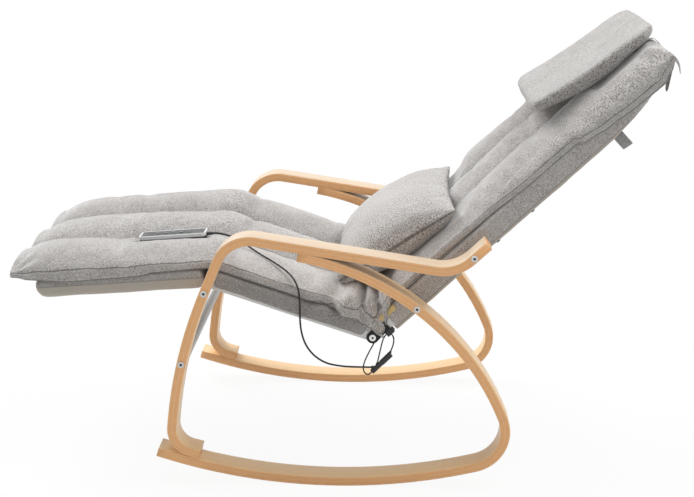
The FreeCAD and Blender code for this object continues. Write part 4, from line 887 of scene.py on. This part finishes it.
# Head pillow: a contoured foam block in a fitted linen cover, held by two ribbon ties that run over
# the top end of the cushion, with their cut tails hanging behind it.
pillow_linen, tree, shader, colour, relief, cloth = linen_finish("pillow_linen", 0.35, 0.74, coarse=1.8)
feed(tree, shader, colour, None, relief, 0.4, 0.0010)
head_at = back_at @ tilted((0.550, 0, 0.0980), 7.3)
upholstered("head_cushion", head_at, "chair", ("head_pillow",), [
    (0.000, 0.014, 0.012), (0.040, 0.004, 0.030), (0.150, -0.014, 0.060), (0.225, 0.001, 0.030),
    (0.292, 0.003, 0.012), (0.305, 0.026, 0.014), (0.240, 0.028, 0.030), (0.120, 0.026, 0.040),
    (0.000, 0.036, 0.012)],
    pillow_linen, 0.0020, half=0.196, edge=0.0105, tuck=0.022, slot="cushion_linen")


def ribbon(name, points, width_way, width, thickness, finish, point_end=0.0):
    """A flat band drawn through points, its width along one direction, with a pointed end if asked."""
    bm = bmesh.new()
    half = Vector(width_way).normalized() * width / 2
    first = [bm.verts.new(points[0] - half), bm.verts.new(points[0]), bm.verts.new(points[0] + half)]
    rim = [bm.edges.new(first[:2]), bm.edges.new(first[1:])]
    for before, after in zip(points, points[1:]):
        fresh, rim = extruded(bm, rim, after - before)
    middle = max(fresh, key=lambda vert: len(vert.link_edges))
    middle.co += (points[-1] - points[-2]).normalized() * point_end
    bmesh.ops.recalc_face_normals(bm, faces=bm.faces[:])
    piece = new_piece(name, bm, finish)
    adjusted(piece.modifiers.new("depth", "SOLIDIFY"), thickness=thickness, offset=0)
    refined(piece, 2)
    cloth_lengths(piece, [vert.co.copy() for vert in piece.data.vertices])
    return piece


# the ties' ribbon is dark grey: its own cloth, darkened in part as painted shade for the shadow line along
# the ties
ribbon_cloth_and_painted_shade, tree, shader = new_finish("ribbon_cloth_and_painted_shade", Roughness=0.85, Sheen_Weight=0.2)
colour, relief, cloth = linen_on(tree, (0.17, 0.165, 0.16), (0.26, 0.255, 0.25), (0.36, 0.355, 0.35))
feed(tree, shader, colour, None, relief, 0.4, 0.0008)
TIE_OFFSET = 0.150
TIE_WIDTH = 0.015
TIE_THICKNESS = 0.001
# each band of a tie: the way of its width, how far its cut end is pointed, and its line on the back
TIE_BANDS = {
    "over": ((0, 1, 0), 0.0, [(0.784, 0.0612), (0.806, 0.0612), (0.820, 0.0612), (0.8305, 0.0596),
                              (0.8338, 0.0530), (0.8332, 0.034), (0.8330, 0.011)]),
    "tail_1": ((0.50, 0.85, 0.20), 0.010, [(0.8335, 0.016), (0.8365, 0.002), (0.8375, -0.012),
                                           (0.834, -0.023), (0.828, -0.032)]),
    "tail_2": ((-0.20, 0.93, 0.27), 0.010, [(0.8334, 0.014), (0.829, -0.004), (0.815, -0.018),
                                            (0.798, -0.030), (0.785, -0.041)]),
}
for side_name, side in SIDES.items():
    for part, (way, point_end, line) in TIE_BANDS.items():
        points = [back_at @ Vector((along, side * TIE_OFFSET, out)) for along, out in line]
        length = sum((after - before).length for before, after in zip(points, points[1:]))
        tie = ribbon("%s_tie_%s" % (side_name, part), points, back_at.to_3x3() @ Vector(way), TIE_WIDTH,
                     TIE_THICKNESS, ribbon_cloth_and_painted_shade, point_end)
        belongs(tie, "chair", "ribbon", *([side_name + "_head_tie"] if part == "over" else []))

# Rear of the back: a loop of grey webbing sewn to the cover for hanging the hand control, and dark studs
# that close the cover.
grey_webbing, tree, shader = new_finish("grey_webbing", Roughness=0.8)
colour, relief, cloth = linen_on(tree, (0.20, 0.205, 0.20), (0.30, 0.305, 0.295), (0.40, 0.40, 0.39))
feed(tree, shader, colour, None, relief, 0.6, 0.001)
LOOP_BAND = 0.026
LOOP_THICKNESS = 0.002
LOOP_MIDDLE = Vector((0.651, -0.218, -0.0245))
LOOP_LINE = [(-0.019, 0.0), (-0.0195, -0.012), (-0.0185, -0.026), (-0.011, -0.035), (0.0, -0.0365),
             (0.011, -0.035), (0.0185, -0.026), (0.0195, -0.012), (0.019, 0.0)]
points = [back_at @ (LOOP_MIDDLE + Vector((0, across, out))) for across, out in LOOP_LINE]
loop = ribbon("rear_webbing_loop", points, back_at.to_3x3() @ Vector((0.90, -0.43, 0)), LOOP_BAND,
              LOOP_THICKNESS, grey_webbing)
belongs(loop, "chair", "grey_webbing", "back_strap_loop")
dark_stud = speckled("dark_stud", (700, 700, 700), 2.0, (0.03, 0.03, 0.03), (0.06, 0.06, 0.06),
                     (0.3, 0.3), (0.1, 0.0002), Metallic=0.4)
paint(dark_stud, "back_studs")

# Hand control: a flat black moulded shell with a pale top shell, five rubber keys and a strain relief.
# It lies on the leg rest, and its cord runs back over the cushion's edge.
CONTROL_AT = (-0.366579, -0.128, 0.479096)
CONTROL_TILT = math.radians(LEGREST_SLOPE)
FIELD_HALF_LENGTH = 0.0685
FIELD_HALF_WIDTH = 0.0200
black_plastic, tree, shader = new_finish("black_plastic", Specular_IOR_Level=0.5)
spot = object_place(tree)
spark = speckle(tree, spot, 2500.0, 2.0)
smear = speckle(tree, spot, 90.0, 3.0)
feed(tree, shader, blended(tree, smear, (0.010, 0.010, 0.011), (0.022, 0.022, 0.023)),
     maths(tree, "MULTIPLY_ADD", smear, 0.25, 0.30), spark, 0.2, 0.0001)
pale_plastic, tree, shader = new_finish("pale_plastic", Specular_IOR_Level=0.5)
spot = object_place(tree)
spark = speckle(tree, spot, 2500.0, 2.0)
on_control = add_node(tree, "Mapping", {
    "Vector": spot, "Location": CONTROL_AT, "Rotation": (0, CONTROL_TILT, 0)}, vector_type="TEXTURE")
field = axes(tree, on_control.outputs["Vector"])
beside = [maths(tree, "SUBTRACT", maths(tree, "ABSOLUTE", field[way]), half)
          for way, half in (("X", FIELD_HALF_LENGTH), ("Y", FIELD_HALF_WIDTH))]
off_field = between(tree, maths(tree, "MAXIMUM", *beside), -0.0004, 0.0004)
below = maths(tree, "SUBTRACT", 1.0, between(tree, field["Z"], 0.0130, 0.0136))
pale = maths(tree, "MAXIMUM", off_field, below)
colour = blended(tree, spark, (0.62, 0.63, 0.64), (0.74, 0.75, 0.76))
raised = maths(tree, "MULTIPLY_ADD", spark, 0.1, pale)
feed(tree, shader, blended(tree, pale, (0.016, 0.016, 0.018), colour),
     maths(tree, "MULTIPLY_ADD", spark, 0.2, 0.22), raised, 0.3, 0.0002)
key_rubber = speckled("key_rubber", (1800, 1800, 1800), 2.0, (0.16, 0.165, 0.17), (0.22, 0.225, 0.23),
                      (0.2, 0.5), (0.15, 0.0001))
circuit_board, tree, shader = new_finish("circuit_board", Roughness=0.4)
tracks = add_node(tree, "TexVoronoi", {"Vector": object_place(tree), "Scale": 260.0},
                  feature="DISTANCE_TO_EDGE")
tracks = between(tree, tracks.outputs["Distance"], 0.02, 0.06)
feed(tree, shader, blended(tree, tracks, (0.30, 0.20, 0.05), (0.01, 0.09, 0.03)))
paint(circuit_board, "remote_board")
KEYS = ("power", "heat", "zone", "mode", "speed")
for node, name, body, finish, slot, ease in (
        ("remote_lower_shell", "control_lower_case", "legrest", black_plastic, "black_plastic", 0.0012),
        ("remote_upper_shell", "control_upper_case", "legrest", pale_plastic, "pale_plastic", 0.0008),
        ("remote_strain_relief", "control_strain_relief", "legrest", black_plastic, "black_plastic", 0.0006),
        *(("remote_%s_key" % key, key + "_button", key + "_key", key_rubber, "key_plastic", 0.0006)
          for key in KEYS),
        ("harness_plug", "cable_plug", "chair", black_plastic, "black_plastic", 0.0008),
        ("harness_socket", "cable_socket", "chair", black_plastic, "black_plastic", 0.0008),
        ("cable_clamp", "cable_clip", "chair", black_plastic, "black_plastic", 0.0010)):
    machined(name, node, ease, body, slot, finish)

# Cords: the hand control's round cord, and three short leads from the seat, back and heater to the plug.
# Black soft plastic; each hangs under its own weight and ends in the plug or its socket.
black_cord = speckled("black_cord", (500, 500, 500), 3.0, (0.008, 0.008, 0.009), (0.020, 0.020, 0.021),
                      (0.25, 0.35), (0.15, 0.0002), Specular_IOR_Level=0.4)
CORD_DIAMETER = 0.004
LEAD_DIAMETER = 0.003
REMOTE_CORD = [
    (-0.2806, -0.1280, 0.4929), (-0.2669, -0.1280, 0.4940), (-0.2251, -0.1380, 0.4829),
    (-0.2014, -0.1580, 0.4719), (-0.1735, -0.1800, 0.4606), (-0.1454, -0.1980, 0.4502),
    (-0.1194, -0.2180, 0.4396), (-0.0988, -0.2410, 0.4285), (-0.0855, -0.2620, 0.4083),
    (-0.0838, -0.2680, 0.3783), (-0.0838, -0.2680, 0.3467), (-0.0812, -0.2670, 0.3163),
    (-0.0726, -0.2650, 0.2882), (-0.0554, -0.2620, 0.2636), (-0.0298, -0.2580, 0.2456),
    (-0.0004, -0.2540, 0.2390), (0.0240, -0.2510, 0.2362), (0.0651, -0.2500, 0.2360),
]
SEAT_LEAD = [
    (0.0593, -0.2260, 0.3279), (0.0738, -0.2260, 0.3220), (0.0788, -0.2270, 0.3090),
    (0.0748, -0.2310, 0.2920), (0.0648, -0.2360, 0.2750), (0.0558, -0.2400, 0.2580),
    (0.0488, -0.2420, 0.2410), (0.0473, -0.2430, 0.2275), (0.0528, -0.2460, 0.2190),
    (0.0605, -0.2500, 0.2195), (0.0668, -0.2500, 0.2260),
]
BACK_LEAD = [(0.1055, -0.2400, 0.3088), (0.1113, -0.2410, 0.3028), (0.1123, -0.2440, 0.2910),
             (0.1093, -0.2490, 0.2810), (0.1056, -0.2500, 0.2724)]
HEATER_LEAD = [(0.0967, -0.2480, 0.3094), (0.0903, -0.2480, 0.3030), (0.0838, -0.2490, 0.2750),
               (0.0778, -0.2500, 0.2457)]


def cord_line(name, route, diameter):
    """A smooth round cord with the route's points as its control points."""
    curve = bpy.data.curves.new(name, "CURVE")
    curve.dimensions = "3D"
    spline = curve.splines.new("NURBS")
    spline.points.add(len(route) - 1)
    for control, point in zip(spline.points, route):
        control.co = (*point, 1.0)
    adjusted(spline, order_u=3, use_endpoint_u=True, resolution_u=8)
    adjusted(curve, bevel_depth=diameter / 2, bevel_resolution=3, use_fill_caps=True)
    curve.materials.append(black_cord)
    return linked(name, curve)


guide = cord_line("cord_guide", REMOTE_CORD, CORD_DIAMETER)
tube = final_mesh(guide)
adjusted(guide.data, bevel_depth=0.0, use_fill_caps=False)
line = final_mesh(guide)
bpy.data.objects.remove(guide)
bpy.data.meshes.remove(line)
control_cord = linked("control_cord", tube)
tube.shade_smooth()
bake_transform(control_cord)
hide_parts("remote_cord")
for name, node, route, length in (("seat_cable", "seat_lead", SEAT_LEAD, 0.145),
                                  ("back_cable", "back_lead", BACK_LEAD, 0.041),
                                  ("heater_cable", "heater_lead", HEATER_LEAD, 0.067)):
    lead = cord_line(name, route, LEAD_DIAMETER)
    belongs(lead, "chair", "black_cord", node)

# Camera, floor and light: a white studio sweep seen from the chair's left side, a little above it.
# The camera stands where both side frames fall on their places in the picture.
CAMERA_PLACE = Vector((0.1390, -2.9347, 1.2262))
CAMERA_PITCH = math.radians(15.2176)
CAMERA_YAW = math.radians(-2.672)
FOCAL_PIXELS = 1350.0
PICTURE_WIDTH = 694.0
SENSOR = 36.0
camera = linked("camera", bpy.data.cameras.new("camera"))
adjusted(camera.data, sensor_width=SENSOR, lens=FOCAL_PIXELS / PICTURE_WIDTH * SENSOR)
forward = Vector((math.sin(CAMERA_YAW) * math.cos(CAMERA_PITCH),
                  math.cos(CAMERA_YAW) * math.cos(CAMERA_PITCH), -math.sin(CAMERA_PITCH)))
camera.matrix_world = aimed(CAMERA_PLACE, forward)
bpy.context.scene.camera = camera
bpy.context.scene.view_settings.view_transform = "Standard"


def rays_seen(tree):
    """1 on the rays that show a surface to the camera: straight, mirrored or through something clear."""
    rays = add_node(tree, "LightPath").outputs
    seen = maths(tree, "MAXIMUM", rays["Is Camera Ray"], rays["Is Glossy Ray"])
    return maths(tree, "MAXIMUM", seen, rays["Is Transmission Ray"])


FLOOR_HALF = 40.0
FLOOR_GREY = 0.85
# the floor is plain white to the camera, apart from a share that takes the chair's shadow near it
SHADOW_SHARE = 0.07
SHADOW_FROM = 1.6
SHADOW_FULL = 0.5
floor_bm = bmesh.new()
bmesh.ops.create_grid(floor_bm, x_segments=1, y_segments=1, size=FLOOR_HALF)
studio_white, tree, shader = new_finish("studio_white", Roughness=0.9)
shader.inputs["Base Color"].default_value = (FLOOR_GREY, FLOOR_GREY, FLOOR_GREY, 1)
paper = add_node(tree, "Emission", {"Color": (1, 1, 1, 1), "Strength": 1.0})
away = add_node(tree, "VectorMath", {0: object_place(tree)}, operation="LENGTH").outputs["Value"]
clear = between(tree, away, SHADOW_FULL, SHADOW_FROM)
white = maths(tree, "MULTIPLY_ADD", clear, SHADOW_SHARE, 1 - SHADOW_SHARE)
mixed = add_node(tree, "MixShader", {0: maths(tree, "MULTIPLY", rays_seen(tree), white),
                                     1: shader.outputs[0], 2: paper.outputs[0]})
tree.links.new(mixed.outputs[0], tree.nodes["Material Output"].inputs["Surface"])
floor = new_piece("studio_floor", floor_bm, studio_white)
SKY_LIGHT = 0.28
world = bpy.data.worlds.new("studio")
bpy.context.scene.world = world
world.use_nodes = True
tree = world.node_tree
sky = tree.nodes["Background"]
sky.inputs["Color"].default_value = (1, 1, 1, 1)
strength = maths(tree, "MULTIPLY_ADD", rays_seen(tree), 1 - SKY_LIGHT, SKY_LIGHT)
tree.links.new(strength, sky.inputs["Strength"])
LIGHT_AIM = Vector((0.0, 0.0, 0.4))


def softbox(name, place, width, power):
    """A square soft light, turned to the chair."""
    lamp = adjusted(bpy.data.lights.new(name, "AREA"), shape="SQUARE", size=width, energy=power)
    linked(name, lamp).matrix_world = aimed(place, LIGHT_AIM - Vector(place))


softbox("key_light", (-2.4, 1.7, 3.6), 3.0, 182.0)
softbox("side_light", (1.5, -0.1, 2.7), 2.0, 48.0)
softbox("fill_light", (0.2, -3.4, 1.5), 2.4, 10.5)
